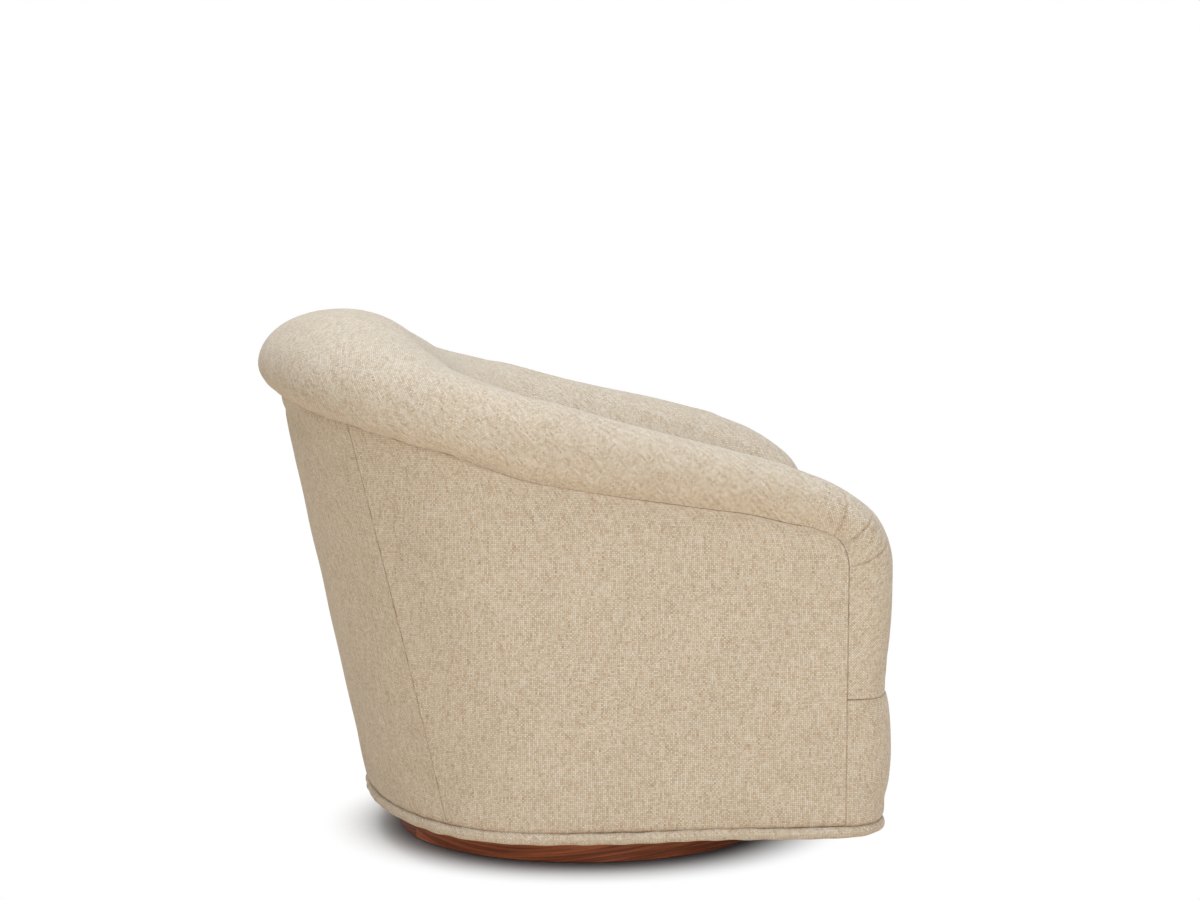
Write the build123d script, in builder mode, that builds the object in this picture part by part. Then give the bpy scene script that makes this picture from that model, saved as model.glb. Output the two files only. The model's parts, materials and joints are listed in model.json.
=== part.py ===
from build123d import *
import os
from math import cos, degrees, hypot, radians, sin, sqrt
from typing import NamedTuple

# Barrel swivel chair in millimetres. +Z is up, the sitter faces -Y, and the chair's right side is -X.
# The origin is on the swivel axis, at the floor.

# Standing base
FELT_THICKNESS = 3.0
FELT_WIDTH = 22.0
PLINTH_RADIUS = 260.0
PLINTH_TOP = 50.0
PLINTH_WALL = 38.0
PLINTH_LEDGE = 14.0
PLINTH_SEGMENTS = 2
PLINTH_JOINT_ANGLE = 111.0
PLINTH_EDGE = 2.0
GLUE_LINE = 0.1
PLINTH_BOARD_THICKNESS = 18.0
RIVET_POCKET_RADIUS = 26.0

# Swivel bearing
PLATE_SIDE = 200.0
PLATE_THICKNESS = 3.0
PLATE_CORNER = 12.0
RACE_RADIUS = 76.0
RACE_WIDTH = 15.0
RACE_RISE = 3.0
SWIVEL_HEIGHT = 16.0
BALL_RADIUS = 3.0
BALL_COUNT = 24
BALL_CLEARANCE = 0.2
RETAINER_THICKNESS = 2.0
RETAINER_WIDTH = 11.0
RIVET_RADIUS = 10.0
RIVET_HEAD_RADIUS = 18.0
RIVET_HEAD_HEIGHT = 3.0
RUNNING_CLEARANCE = 0.3

# Screws that hold the swivel plates
SCREW_SPACING = 170.0
SCREW_RADIUS = 2.5
SCREW_HEAD_RADIUS = 5.0
SCREW_HEAD_HEIGHT = 2.6
SCREW_LENGTH = 15.0
SCREW_CLEARANCE = 0.1

# Outside of the tub: straight sides, a rounded back that leans out, rounded front corners
WELT_BOTTOM = 55.0
WELT_SIZE = 16.0
WELT_CUTS = 6
BOTTOM_HALF_WIDTH = 362.0
TOP_HALF_WIDTH = 373.0
BOTTOM_BACK_DEPTH = 225.0
TOP_BACK_DEPTH = 337.0
BACK_CURVE_START = 80.0
FRONT_REACH = 375.0
FRONT_CORNER_RADIUS = 66.0
SKIN = 8.0
TRIM_CLEARANCE = 0.2
CUT_MARGIN = 100.0

# Seam between the roll and the outside panels, seen from the side
FRONT_POST_DEPTH = 69.0
SEAM_FRONT = FRONT_REACH - FRONT_POST_DEPTH
SEAM_CORNER_RADIUS = 66.0
SEAM_ARM_HEIGHT = 476.0
SEAM_BACK_REACH = 417.0
SEAM_BACK_HEIGHT = 599.0
SEAM_SAG = 12.0

# Outside back panel, seen from behind
BACK_PANEL_BOTTOM_HALF = 293.0
BACK_PANEL_TOP_HALF = 240.0

# Sitting well: the inside of the tub, lined by pads on boards
ARM_THICKNESS = 112.0
WELL_HALF_WIDTH = BOTTOM_HALF_WIDTH - ARM_THICKNESS
WELL_CURVE_START = -20.0
WELL_DEPTH_AT_DECK = 181.0
WELL_DEPTH_AT_SEAM = 222.0
PAD_THICKNESS = 52.0
BOARD_THICKNESS = 6.0
ARM_PAD_END = 40.0

# Timber frame
BASE_BOARD_THICKNESS = 18.0
DUST_COVER_THICKNESS = 1.0
DUST_COVER_INSET = 22.0
RAIL_THICKNESS = 25.0
RAIL_HEIGHT = 60.0
ARM_POST_DEPTH = 45.0
ARM_RAIL_HEIGHT = 36.0
BACK_POST_THICKNESS = 40.0
BACK_POST_WIDTH = 44.0
BACK_POST_SPREAD = 300.0
SIDE_RAIL_END = 60.0
FRONT_RAIL_TOP = 200.0
REAR_RAIL_HEIGHT = 30.0
REAR_RAIL_FRONT = 150.0
CORNER_BLOCK_LEG = 55.0
CORNER_BLOCK_HEIGHT = 50.0

# Sprung seat
SPRING_COUNT = 5
SPRING_SPACING = 95.0
SPRING_WIRE_RADIUS = 1.9
SPRING_BAR_HALF = 24.0
SPRING_BARS = 22
SPRING_SETBACK = 49.0
SPRING_REAR = 176.0
CLIP_WIDTH = 20.0
CLIP_LENGTH = 16.0
CLIP_HEIGHT = 7.0
DECK_TOP = 238.0
DECK_CLEARANCE = 0.5

# Front apron
APRON_THICKNESS = 30.0
APRON_PULL_IN_TOP = 6.0
APRON_PULL_IN_BOTTOM = 10.0

# Loose seat cushion
CUSHION_OVERHANG = 6.0
CUSHION_CLEARANCE = 3.5
CUSHION_LIFT = 0.3
CUSHION_EDGE_HEIGHT = 415.0
CUSHION_CROWN = 34.0
CUSHION_CORNER = 45.0
CUSHION_DRAW_IN = 4.0
CUSHION_FRONT_BOW = 5.0
CUSHION_EDGE_ROUND = 18.0


class RollSection(NamedTuple):
    """One cut through the padded roll, measured from its outside seam."""

    overhang: float
    overhang_rise: float
    apex_inset: float
    apex_rise: float
    inner_rise: float


ROLL_POST = RollSection(5.0, 26.0, 58.0, 68.0, 8.0)
ROLL_CORNER = RollSection(9.0, 27.0, 46.0, 57.0, 6.0)
ROLL_ARM_FRONT = RollSection(13.0, 28.0, 38.0, 64.0, 6.0)
ROLL_ARM_REAR = RollSection(28.0, 38.0, 27.0, 105.0, 12.0)
ROLL_BACK = RollSection(33.0, 50.0, 81.0, 127.0, 12.0)
ROLL_ROOT = 20.0
BACK_ROLL_ROOT = 75.0
ARM_ROLL_CUTS = 6
CORNER_ROLL_CUTS = 6
BACK_ROLL_CUTS = 8

# Places and heights that follow from the sizes above
SPRING_FRONT = SPRING_SETBACK - FRONT_REACH
DECK_FRONT = FRONT_REACH - APRON_THICKNESS - DECK_CLEARANCE
CUSHION_FRONT = FRONT_REACH + CUSHION_OVERHANG
UPPER_PLATE_TOP = PLINTH_TOP + SWIVEL_HEIGHT
BALL_HEIGHT = PLINTH_TOP + SWIVEL_HEIGHT / 2
BOARD_TOP = UPPER_PLATE_TOP + BASE_BOARD_THICKNESS
PANEL_BOTTOM = WELT_BOTTOM + WELT_SIZE
RAIL_TOP = BOARD_TOP + RAIL_HEIGHT
SPRING_HEIGHT = FRONT_RAIL_TOP + CLIP_HEIGHT / 2
PAD_BOTTOM = FRONT_RAIL_TOP + CLIP_HEIGHT + TRIM_CLEARANCE
REAR_RAIL_BOTTOM = FRONT_RAIL_TOP - REAR_RAIL_HEIGHT
CORNER_CENTRE_Y = -SEAM_FRONT + SEAM_CORNER_RADIUS
CORNER_CENTRE_Z = SEAM_ARM_HEIGHT - SEAM_CORNER_RADIUS
ABOVE_ALL = SEAM_BACK_HEIGHT + CUT_MARGIN
FAR = 10 * CUT_MARGIN
INNER_WALL = WELL_HALF_WIDTH + PAD_THICKNESS + BOARD_THICKNESS

# The long seam is one shallow arc that sags below its chord
SEAM_CHORD = hypot(SEAM_BACK_REACH - CORNER_CENTRE_Y, SEAM_BACK_HEIGHT - SEAM_ARM_HEIGHT)
SEAM_RADIUS = SEAM_CHORD**2 / (8 * SEAM_SAG) + SEAM_SAG / 2
SEAM_UNIT = Vector(0, SEAM_BACK_REACH - CORNER_CENTRE_Y, SEAM_BACK_HEIGHT - SEAM_ARM_HEIGHT) / SEAM_CHORD
SEAM_MIDDLE = Vector(0, CORNER_CENTRE_Y, SEAM_ARM_HEIGHT) + SEAM_UNIT * (SEAM_CHORD / 2)
SEAM_CENTRE = SEAM_MIDDLE + Vector(0, -SEAM_UNIT.Z, SEAM_UNIT.Y) * (SEAM_RADIUS - SEAM_SAG)


def between(low, high, share):
    """A value part of the way from low to high."""
    return low + (high - low) * share


def blend_sections(first, second, share):
    """A roll section part of the way between two others."""
    return RollSection(*(between(a, b, share) for a, b in zip(first, second)))


def seam_height(y):
    """Height of the roll's outside seam at one place along the chair."""
    return SEAM_CENTRE.Z - sqrt(SEAM_RADIUS**2 - (y - SEAM_CENTRE.Y) ** 2)


def tub_size(height):
    """Half width, and depth of the rounded back, of the tub's outside at one height."""
    share = (height - PANEL_BOTTOM) / (SEAM_BACK_HEIGHT - PANEL_BOTTOM)
    half = between(BOTTOM_HALF_WIDTH, TOP_HALF_WIDTH, share)
    return half, between(BOTTOM_BACK_DEPTH, TOP_BACK_DEPTH, share)


def tub_plan(height, inset=0.0, front_inset=0.0):
    """Plan of the tub's outside at one height, drawn in by an inset."""
    half, depth = tub_size(height)
    half -= inset
    depth -= inset
    front = -FRONT_REACH + inset + front_inset
    corner = max(FRONT_CORNER_RADIUS - inset, SKIN)
    with BuildSketch(Plane.XY.offset(height)) as plan:
        with BuildLine():
            Line((-half + corner, front), (half - corner, front))
            CenterArc((half - corner, front + corner), corner, -90, 90)
            Line((half, front + corner), (half, BACK_CURVE_START))
            EllipticalCenterArc((0, BACK_CURVE_START), half, depth, 0, arc_size=90)
            EllipticalCenterArc((0, BACK_CURVE_START), half, depth, 90, arc_size=90)
            Line((-half, BACK_CURVE_START), (-half, front + corner))
            CenterArc((-half + corner, front + corner), corner, 180, 90)
        make_face()
    return plan.sketch


def tub_body(low, high, inset=0.0, mode=Mode.ADD):
    """Work the tub's straight-walled body, drawn in by an inset, into the current part."""
    loft([tub_plan(low, inset), tub_plan(high, inset)], ruled=True, mode=mode)


def well_depth(height):
    """Depth of the well's rounded back at one height."""
    share = (height - DECK_TOP) / (SEAM_BACK_HEIGHT - DECK_TOP)
    return between(WELL_DEPTH_AT_DECK, WELL_DEPTH_AT_SEAM, share)


def well_plan(height, grow=0.0, front=SEAM_FRONT):
    """Plan of the sitting well at one height, let out by a growth."""
    half = WELL_HALF_WIDTH + grow
    depth = well_depth(height) + grow
    with BuildSketch(Plane.XY.offset(height)) as plan:
        with BuildLine():
            Line((-half, -front), (half, -front))
            Line((half, -front), (half, WELL_CURVE_START))
            EllipticalCenterArc((0, WELL_CURVE_START), half, depth, 0, arc_size=90)
            EllipticalCenterArc((0, WELL_CURVE_START), half, depth, 90, arc_size=90)
            Line((-half, WELL_CURVE_START), (-half, -front))
        make_face()
    return plan.sketch


def well_body(low, high, grow=0.0, front=SEAM_FRONT, mode=Mode.ADD):
    """Work the sitting well, let out by a growth, into the current part."""
    loft([well_plan(low, grow, front), well_plan(high, grow, front)], ruled=True, mode=mode)


def keep_box(low, high):
    """Keep only what lies between two corners of the current part."""
    size = [b - a for a, b in zip(low, high)]
    middle = tuple((a + b) / 2 for a, b in zip(low, high))
    with Locations(middle):
        Box(*size, mode=Mode.INTERSECT)


def well_reach(start, inward):
    """Distance from a point on the outside seam to the well's wall, along a level direction."""
    half = WELL_HALF_WIDTH
    depth = well_depth(start.Z)
    if start.Y <= WELL_CURVE_START:
        return abs(start.X) - half
    offset_x, offset_y = start.X / half, (start.Y - WELL_CURVE_START) / depth
    step_x, step_y = inward.X / half, inward.Y / depth
    a = step_x**2 + step_y**2
    b = offset_x * step_x + offset_y * step_y
    c = offset_x**2 + offset_y**2 - 1
    return (-b - sqrt(b**2 - a * c)) / a


def roll_cut(start, outward, rising, section, root):
    """Sketch one cut through the roll: out over the seam, up to its apex and down to the well."""
    inner = -well_reach(start, -outward)
    plane = Plane(start, x_dir=outward, z_dir=outward.cross(rising))
    overhang, overhang_rise, apex_inset, apex_rise, inner_rise = section
    with BuildSketch(plane) as cut:
        with BuildLine():
            Line((0, -root), (0, 0))
            TangentArc((overhang, overhang_rise), (0, 0), tangent=(0, -1))
            EllipticalCenterArc(
                (-apex_inset, overhang_rise), overhang + apex_inset, apex_rise - overhang_rise, 0, arc_size=90
            )
            EllipticalCenterArc(
                (-apex_inset, inner_rise), -apex_inset - inner, apex_rise - inner_rise, 90, arc_size=90
            )
            Line((inner, inner_rise), (inner, -root))
            Line((inner, -root), (0, -root))
        make_face()
    return cut.sketch


def post_cut(height):
    """Cut through the turned-down front of the right arm roll at one height."""
    start = Vector(-tub_size(height)[0], -SEAM_FRONT, height)
    return roll_cut(start, Vector(-1, 0, 0), Vector(0, -1, 0), ROLL_POST, ROLL_ROOT)


def corner_cut(angle):
    """Cut through the right arm roll where it turns over the front corner, level at 90 degrees."""
    share = 1 - angle / 90
    if share < 0.5:
        section = blend_sections(ROLL_POST, ROLL_CORNER, 2 * share)
    else:
        section = blend_sections(ROLL_CORNER, ROLL_ARM_FRONT, 2 * share - 1)
    rising = Vector(0, -sin(radians(angle)), cos(radians(angle)))
    centre = Vector(-tub_size(CORNER_CENTRE_Z)[0], CORNER_CENTRE_Y, CORNER_CENTRE_Z)
    start = centre + rising * SEAM_CORNER_RADIUS
    return roll_cut(start, Vector(-1, 0, 0), rising, section, ROLL_ROOT)


def arm_cut(y):
    """Cut through the right arm roll at one place along the arm."""
    height = seam_height(y)
    share = (y - CORNER_CENTRE_Y) / (BACK_CURVE_START - CORNER_CENTRE_Y)
    section = blend_sections(ROLL_ARM_FRONT, ROLL_ARM_REAR, share)
    start = Vector(-tub_size(height)[0], y, height)
    return roll_cut(start, Vector(-1, 0, 0), Vector(0, 0, 1), section, ROLL_ROOT)


def back_cut(angle):
    """Cut through the back roll at one angle round the back, from the right side."""
    height = seam_height(BACK_CURVE_START)
    for _ in range(8):
        half, depth = tub_size(height)
        height = seam_height(BACK_CURVE_START + depth * sin(radians(angle)))
    start = Vector(-half * cos(radians(angle)), BACK_CURVE_START + depth * sin(radians(angle)), height)
    outward = Vector(-cos(radians(angle)) / half, sin(radians(angle)) / depth, 0).normalized()
    section = blend_sections(ROLL_ARM_REAR, ROLL_BACK, sin(radians(angle)) ** 2)
    return roll_cut(start, outward, Vector(0, 0, 1), section, BACK_ROLL_ROOT)


def cushion_plan(height, inset):
    """Plan of the loose cushion at one height: bowed front, drawn-in sides and a rounded back."""
    half = WELL_HALF_WIDTH - CUSHION_CLEARANCE - inset
    depth = WELL_DEPTH_AT_DECK - CUSHION_CLEARANCE - inset
    front = -CUSHION_FRONT + inset
    corner = CUSHION_CORNER
    side_middle = (front + corner + WELL_CURVE_START) / 2
    with BuildSketch(Plane.XY.offset(height)) as plan:
        with BuildLine():
            ThreePointArc((-half + corner, front), (0, front - CUSHION_FRONT_BOW), (half - corner, front))
            CenterArc((half - corner, front + corner), corner, -90, 90)
            ThreePointArc(
                (half, front + corner), (half - CUSHION_DRAW_IN, side_middle), (half, WELL_CURVE_START)
            )
            EllipticalCenterArc((0, WELL_CURVE_START), half, depth, 0, arc_size=90)
            EllipticalCenterArc((0, WELL_CURVE_START), half, depth, 90, arc_size=90)
            ThreePointArc(
                (-half, WELL_CURVE_START), (-half + CUSHION_DRAW_IN, side_middle), (-half, front + corner)
            )
            CenterArc((-half + corner, front + corner), corner, 180, 90)
        make_face()
    return plan.sketch


def mirrored(piece):
    """The same piece for the chair's other side."""
    with BuildPart() as other:
        mirror(piece, about=Plane.YZ)
    return other.part


def swivel_plate(face_height, towards):
    """One pressed plate with its raised ball race, its plain face at one height."""
    with BuildPart() as plate:
        with BuildSketch(Plane.XY.offset(face_height)):
            RectangleRounded(PLATE_SIDE, PLATE_SIDE, PLATE_CORNER)
            Circle(RIVET_RADIUS + RUNNING_CLEARANCE, mode=Mode.SUBTRACT)
            with GridLocations(SCREW_SPACING, SCREW_SPACING, 2, 2):
                Circle(SCREW_RADIUS + SCREW_CLEARANCE, mode=Mode.SUBTRACT)
        extrude(amount=towards * PLATE_THICKNESS)
        with BuildSketch(Plane.XY.offset(face_height + towards * PLATE_THICKNESS)):
            Circle(RACE_RADIUS + RACE_WIDTH / 2)
            Circle(RACE_RADIUS - RACE_WIDTH / 2, mode=Mode.SUBTRACT)
        extrude(amount=towards * RACE_RISE)
        with BuildSketch(Plane.XZ):
            with Locations((RACE_RADIUS, BALL_HEIGHT)):
                Circle(BALL_RADIUS + BALL_CLEARANCE)
        revolve(axis=Axis.Z, mode=Mode.SUBTRACT)
    return plate.part


def screw_set(head_height, towards):
    """Four flat-headed screws whose heads sit at one height and whose points go the given way."""
    with BuildPart() as screws:
        with BuildSketch(Plane.XY.offset(head_height)):
            with GridLocations(SCREW_SPACING, SCREW_SPACING, 2, 2):
                Circle(SCREW_HEAD_RADIUS)
        extrude(amount=-towards * SCREW_HEAD_HEIGHT, taper=20)
        with BuildSketch(Plane.XY.offset(head_height)):
            with GridLocations(SCREW_SPACING, SCREW_SPACING, 2, 2):
                Circle(SCREW_RADIUS)
        extrude(amount=towards * SCREW_LENGTH)
    return screws.part


def screw_holes(height, depth):
    """Cut pilot holes for one set of screws into the current part."""
    with BuildSketch(Plane.XY.offset(height)) as holes:
        with GridLocations(SCREW_SPACING, SCREW_SPACING, 2, 2):
            Circle(SCREW_RADIUS + SCREW_CLEARANCE)
    extrude(holes.sketch, amount=depth, mode=Mode.SUBTRACT)


# Everything inside the roll's seam, seen from the side, as a long prism across the chair
with BuildPart() as under_seam:
    with BuildSketch(Plane.YZ):
        with BuildLine():
            Line((-SEAM_FRONT, 0), (-SEAM_FRONT, CORNER_CENTRE_Z))
            CenterArc((CORNER_CENTRE_Y, CORNER_CENTRE_Z), SEAM_CORNER_RADIUS, 180, -90)
            ThreePointArc(
                (CORNER_CENTRE_Y, SEAM_ARM_HEIGHT),
                (BACK_CURVE_START, seam_height(BACK_CURVE_START)),
                (SEAM_BACK_REACH + PAD_THICKNESS, seam_height(SEAM_BACK_REACH + PAD_THICKNESS)),
            )
            Line((SEAM_BACK_REACH + PAD_THICKNESS, seam_height(SEAM_BACK_REACH + PAD_THICKNESS)), (FAR, FAR))
            Line((FAR, FAR), (FAR, 0))
            Line((FAR, 0), (-SEAM_FRONT, 0))
        make_face()
    extrude(amount=FAR, both=True)

under_arm_rail = Pos(0, 0, -ARM_RAIL_HEIGHT) * under_seam.part

# Standing base

with BuildPart() as floor_felt:
    with BuildSketch():
        Circle(PLINTH_RADIUS - (PLINTH_WALL - FELT_WIDTH) / 2)
        Circle(PLINTH_RADIUS - (PLINTH_WALL + FELT_WIDTH) / 2, mode=Mode.SUBTRACT)
    extrude(amount=FELT_THICKNESS)

with BuildPart() as plinth_segment:
    with BuildSketch(Plane.XZ):
        with BuildLine():
            Polyline(
                (PLINTH_RADIUS, FELT_THICKNESS),
                (PLINTH_RADIUS, PLINTH_TOP),
                (PLINTH_RADIUS - PLINTH_WALL + PLINTH_LEDGE, PLINTH_TOP),
                (PLINTH_RADIUS - PLINTH_WALL + PLINTH_LEDGE, PLINTH_TOP - PLINTH_BOARD_THICKNESS),
                (PLINTH_RADIUS - PLINTH_WALL, PLINTH_TOP - PLINTH_BOARD_THICKNESS),
                (PLINTH_RADIUS - PLINTH_WALL, FELT_THICKNESS),
                close=True,
            )
        make_face()
    revolve(axis=Axis.Z, revolution_arc=360 / PLINTH_SEGMENTS - degrees(GLUE_LINE / PLINTH_RADIUS))
    rim = plinth_segment.edges().filter_by(GeomType.CIRCLE).group_by(SortBy.RADIUS)[-1]
    fillet(rim, PLINTH_EDGE)

with BuildPart() as plinth_ring:
    with PolarLocations(0, PLINTH_SEGMENTS, start_angle=PLINTH_JOINT_ANGLE):
        add(plinth_segment.part)

with BuildPart() as plinth_board:
    with BuildSketch(Plane.XY.offset(PLINTH_TOP)):
        Circle(PLINTH_RADIUS - PLINTH_WALL + PLINTH_LEDGE - TRIM_CLEARANCE)
        Circle(RIVET_POCKET_RADIUS, mode=Mode.SUBTRACT)
    extrude(amount=-PLINTH_BOARD_THICKNESS)
    screw_holes(PLINTH_TOP, -SCREW_LENGTH)

lower_bearing_plate = swivel_plate(PLINTH_TOP, 1)
plinth_screws = screw_set(PLINTH_TOP + PLATE_THICKNESS, -1)

with BuildPart() as pivot_rivet:
    with BuildSketch(Plane.XY.offset(PLINTH_TOP)):
        Circle(RIVET_HEAD_RADIUS)
    extrude(amount=-RIVET_HEAD_HEIGHT)
    with BuildSketch(Plane.XY.offset(PLINTH_TOP)):
        Circle(RIVET_RADIUS)
    extrude(amount=SWIVEL_HEIGHT + RUNNING_CLEARANCE)
    with BuildSketch(Plane.XY.offset(UPPER_PLATE_TOP + RUNNING_CLEARANCE)):
        Circle(RIVET_HEAD_RADIUS)
    extrude(amount=RIVET_HEAD_HEIGHT)

# Ball cage

with BuildPart() as ball_retainer:
    with BuildSketch(Plane.XY.offset(BALL_HEIGHT - RETAINER_THICKNESS / 2)):
        Circle(RACE_RADIUS + RETAINER_WIDTH / 2)
        Circle(RACE_RADIUS - RETAINER_WIDTH / 2, mode=Mode.SUBTRACT)
        with PolarLocations(RACE_RADIUS, BALL_COUNT):
            Circle(BALL_RADIUS + BALL_CLEARANCE, mode=Mode.SUBTRACT)
    extrude(amount=RETAINER_THICKNESS)

with BuildPart(Plane.XY.offset(BALL_HEIGHT)) as bearing_balls:
    with PolarLocations(RACE_RADIUS, BALL_COUNT):
        Sphere(BALL_RADIUS)

# Turning chair: swivel plate, base board and what closes the underside

upper_bearing_plate = swivel_plate(UPPER_PLATE_TOP, -1)
chair_screws = screw_set(UPPER_PLATE_TOP - PLATE_THICKNESS, 1)

with BuildPart() as front_apron:
    loft(
        [
            tub_plan(PANEL_BOTTOM, front_inset=APRON_PULL_IN_BOTTOM),
            tub_plan((PANEL_BOTTOM + DECK_TOP) / 2),
            tub_plan(DECK_TOP, front_inset=APRON_PULL_IN_TOP),
        ]
    )
    tub_body(0, ABOVE_ALL, inset=APRON_THICKNESS, mode=Mode.SUBTRACT)
    keep_box((-FAR, -FAR, 0), (FAR, -SEAM_FRONT, FAR))

with BuildPart() as base_board:
    tub_body(UPPER_PLATE_TOP, BOARD_TOP, inset=WELT_SIZE + TRIM_CLEARANCE)
    with Locations((0, 0, UPPER_PLATE_TOP)):
        Cylinder(RIVET_POCKET_RADIUS, 2 * BASE_BOARD_THICKNESS, mode=Mode.SUBTRACT)
    add(front_apron.part, mode=Mode.SUBTRACT)
    screw_holes(UPPER_PLATE_TOP, SCREW_LENGTH)

with BuildPart() as dust_cover:
    tub_body(UPPER_PLATE_TOP - DUST_COVER_THICKNESS, UPPER_PLATE_TOP, inset=DUST_COVER_INSET)
    with Locations((0, 0, UPPER_PLATE_TOP)):
        Box(PLATE_SIDE + CLIP_WIDTH, PLATE_SIDE + CLIP_WIDTH, FELT_THICKNESS, mode=Mode.SUBTRACT)

with BuildPart() as bottom_welt:
    rounds = []
    for cut in range(WELT_CUTS + 1):
        turn = radians(between(-90, 90, cut / WELT_CUTS))
        height = WELT_BOTTOM + WELT_SIZE / 2 * (1 + sin(turn))
        rounds.append(tub_plan(height, inset=WELT_SIZE / 2 * (1 - cos(turn))))
    loft(rounds, ruled=True)
    tub_body(WELT_BOTTOM, PANEL_BOTTOM, inset=WELT_SIZE, mode=Mode.SUBTRACT)

# Timber frame

with BuildPart() as front_rail:
    tub_body(BOARD_TOP, FRONT_RAIL_TOP, inset=APRON_THICKNESS)
    keep_box((-FAR, -FAR, 0), (FAR, -SEAM_FRONT, FAR))

with BuildPart() as side_rail_right:
    tub_body(BOARD_TOP, RAIL_TOP, inset=SKIN)
    tub_body(BOARD_TOP, RAIL_TOP, inset=SKIN + RAIL_THICKNESS, mode=Mode.SUBTRACT)
    keep_box((-FAR, -SEAM_FRONT + ARM_POST_DEPTH, 0), (0, SIDE_RAIL_END, FAR))

with BuildPart() as back_rail:
    tub_body(BOARD_TOP, RAIL_TOP, inset=SKIN)
    tub_body(BOARD_TOP, RAIL_TOP, inset=SKIN + RAIL_THICKNESS, mode=Mode.SUBTRACT)
    keep_box((-FAR, SIDE_RAIL_END, 0), (FAR, FAR, FAR))

with BuildPart() as arm_post_right:
    tub_body(BOARD_TOP, ABOVE_ALL, inset=SKIN)
    keep_box((-FAR, -SEAM_FRONT, 0), (-INNER_WALL, -SEAM_FRONT + ARM_POST_DEPTH, FAR))
    add(under_seam.part, mode=Mode.INTERSECT)

with BuildPart() as arm_rail_right:
    tub_body(BOARD_TOP, ABOVE_ALL, inset=SKIN)
    keep_box((-FAR, -SEAM_FRONT + ARM_POST_DEPTH, 0), (-INNER_WALL, SIDE_RAIL_END, FAR))
    well_body(BOARD_TOP, ABOVE_ALL, grow=PAD_THICKNESS + BOARD_THICKNESS, mode=Mode.SUBTRACT)
    add(under_seam.part, mode=Mode.INTERSECT)
    add(under_arm_rail, mode=Mode.SUBTRACT)

with BuildPart() as top_back_rail:
    tub_body(BOARD_TOP, ABOVE_ALL, inset=SKIN)
    well_body(BOARD_TOP, ABOVE_ALL, grow=PAD_THICKNESS + BOARD_THICKNESS, mode=Mode.SUBTRACT)
    keep_box((-FAR, SIDE_RAIL_END, 0), (FAR, FAR, FAR))
    add(under_seam.part, mode=Mode.INTERSECT)
    add(under_arm_rail, mode=Mode.SUBTRACT)

with BuildPart() as back_post_right:
    tub_body(RAIL_TOP, ABOVE_ALL, inset=SKIN)
    tub_body(RAIL_TOP, ABOVE_ALL, inset=SKIN + BACK_POST_THICKNESS, mode=Mode.SUBTRACT)
    keep_box(
        (-(BACK_POST_SPREAD + BACK_POST_WIDTH) / 2, SIDE_RAIL_END, 0),
        (-(BACK_POST_SPREAD - BACK_POST_WIDTH) / 2, FAR, FAR),
    )
    add(under_arm_rail, mode=Mode.INTERSECT)

with BuildPart() as rear_seat_rail:
    tub_body(REAR_RAIL_BOTTOM, FRONT_RAIL_TOP, inset=SKIN + BACK_POST_THICKNESS)
    keep_box((-FAR, REAR_RAIL_FRONT, 0), (FAR, FAR, FAR))

with BuildPart() as corner_blocks:
    with BuildSketch(Plane.XY.offset(BOARD_TOP)):
        with BuildLine():
            corner_x = INNER_WALL - BOARD_THICKNESS
            Polyline(
                (-corner_x, -SEAM_FRONT),
                (-corner_x + CORNER_BLOCK_LEG, -SEAM_FRONT),
                (-corner_x, -SEAM_FRONT + CORNER_BLOCK_LEG),
                close=True,
            )
        make_face()
        mirror(about=Plane.YZ)
    extrude(amount=CORNER_BLOCK_HEIGHT)

with BuildPart() as inside_arm_board_right:
    well_body(BOARD_TOP, ABOVE_ALL, grow=PAD_THICKNESS + BOARD_THICKNESS)
    well_body(BOARD_TOP, ABOVE_ALL, grow=PAD_THICKNESS, mode=Mode.SUBTRACT)
    keep_box((-FAR, -SEAM_FRONT, 0), (0, ARM_PAD_END, FAR))
    add(under_seam.part, mode=Mode.INTERSECT)

with BuildPart() as inside_back_board:
    well_body(PAD_BOTTOM, ABOVE_ALL, grow=PAD_THICKNESS + BOARD_THICKNESS)
    well_body(PAD_BOTTOM, ABOVE_ALL, grow=PAD_THICKNESS, mode=Mode.SUBTRACT)
    keep_box((-FAR, ARM_PAD_END, 0), (FAR, FAR, FAR))
    add(under_seam.part, mode=Mode.INTERSECT)

# Sprung seat

with BuildPart() as seat_spring:
    with BuildLine(Plane.XY.offset(SPRING_HEIGHT)) as wire:
        pitch = (SPRING_REAR - SPRING_FRONT) / (SPRING_BARS - 1)
        straight = SPRING_BAR_HALF - pitch / 2
        for bar in range(SPRING_BARS):
            y = SPRING_FRONT + bar * pitch
            side = 1 if bar % 2 == 0 else -1
            Line((-side * straight, y), (side * straight, y))
            if bar < SPRING_BARS - 1:
                ThreePointArc(
                    (side * straight, y),
                    (side * SPRING_BAR_HALF, y + pitch / 2),
                    (side * straight, y + pitch),
                )
    with BuildSketch(Plane((-straight, SPRING_FRONT, SPRING_HEIGHT), z_dir=(1, 0, 0))):
        Circle(SPRING_WIRE_RADIUS)
    sweep(path=wire.line)

with BuildPart() as seat_springs:
    with GridLocations(SPRING_SPACING, 0, SPRING_COUNT, 1):
        add(seat_spring.part)

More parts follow.
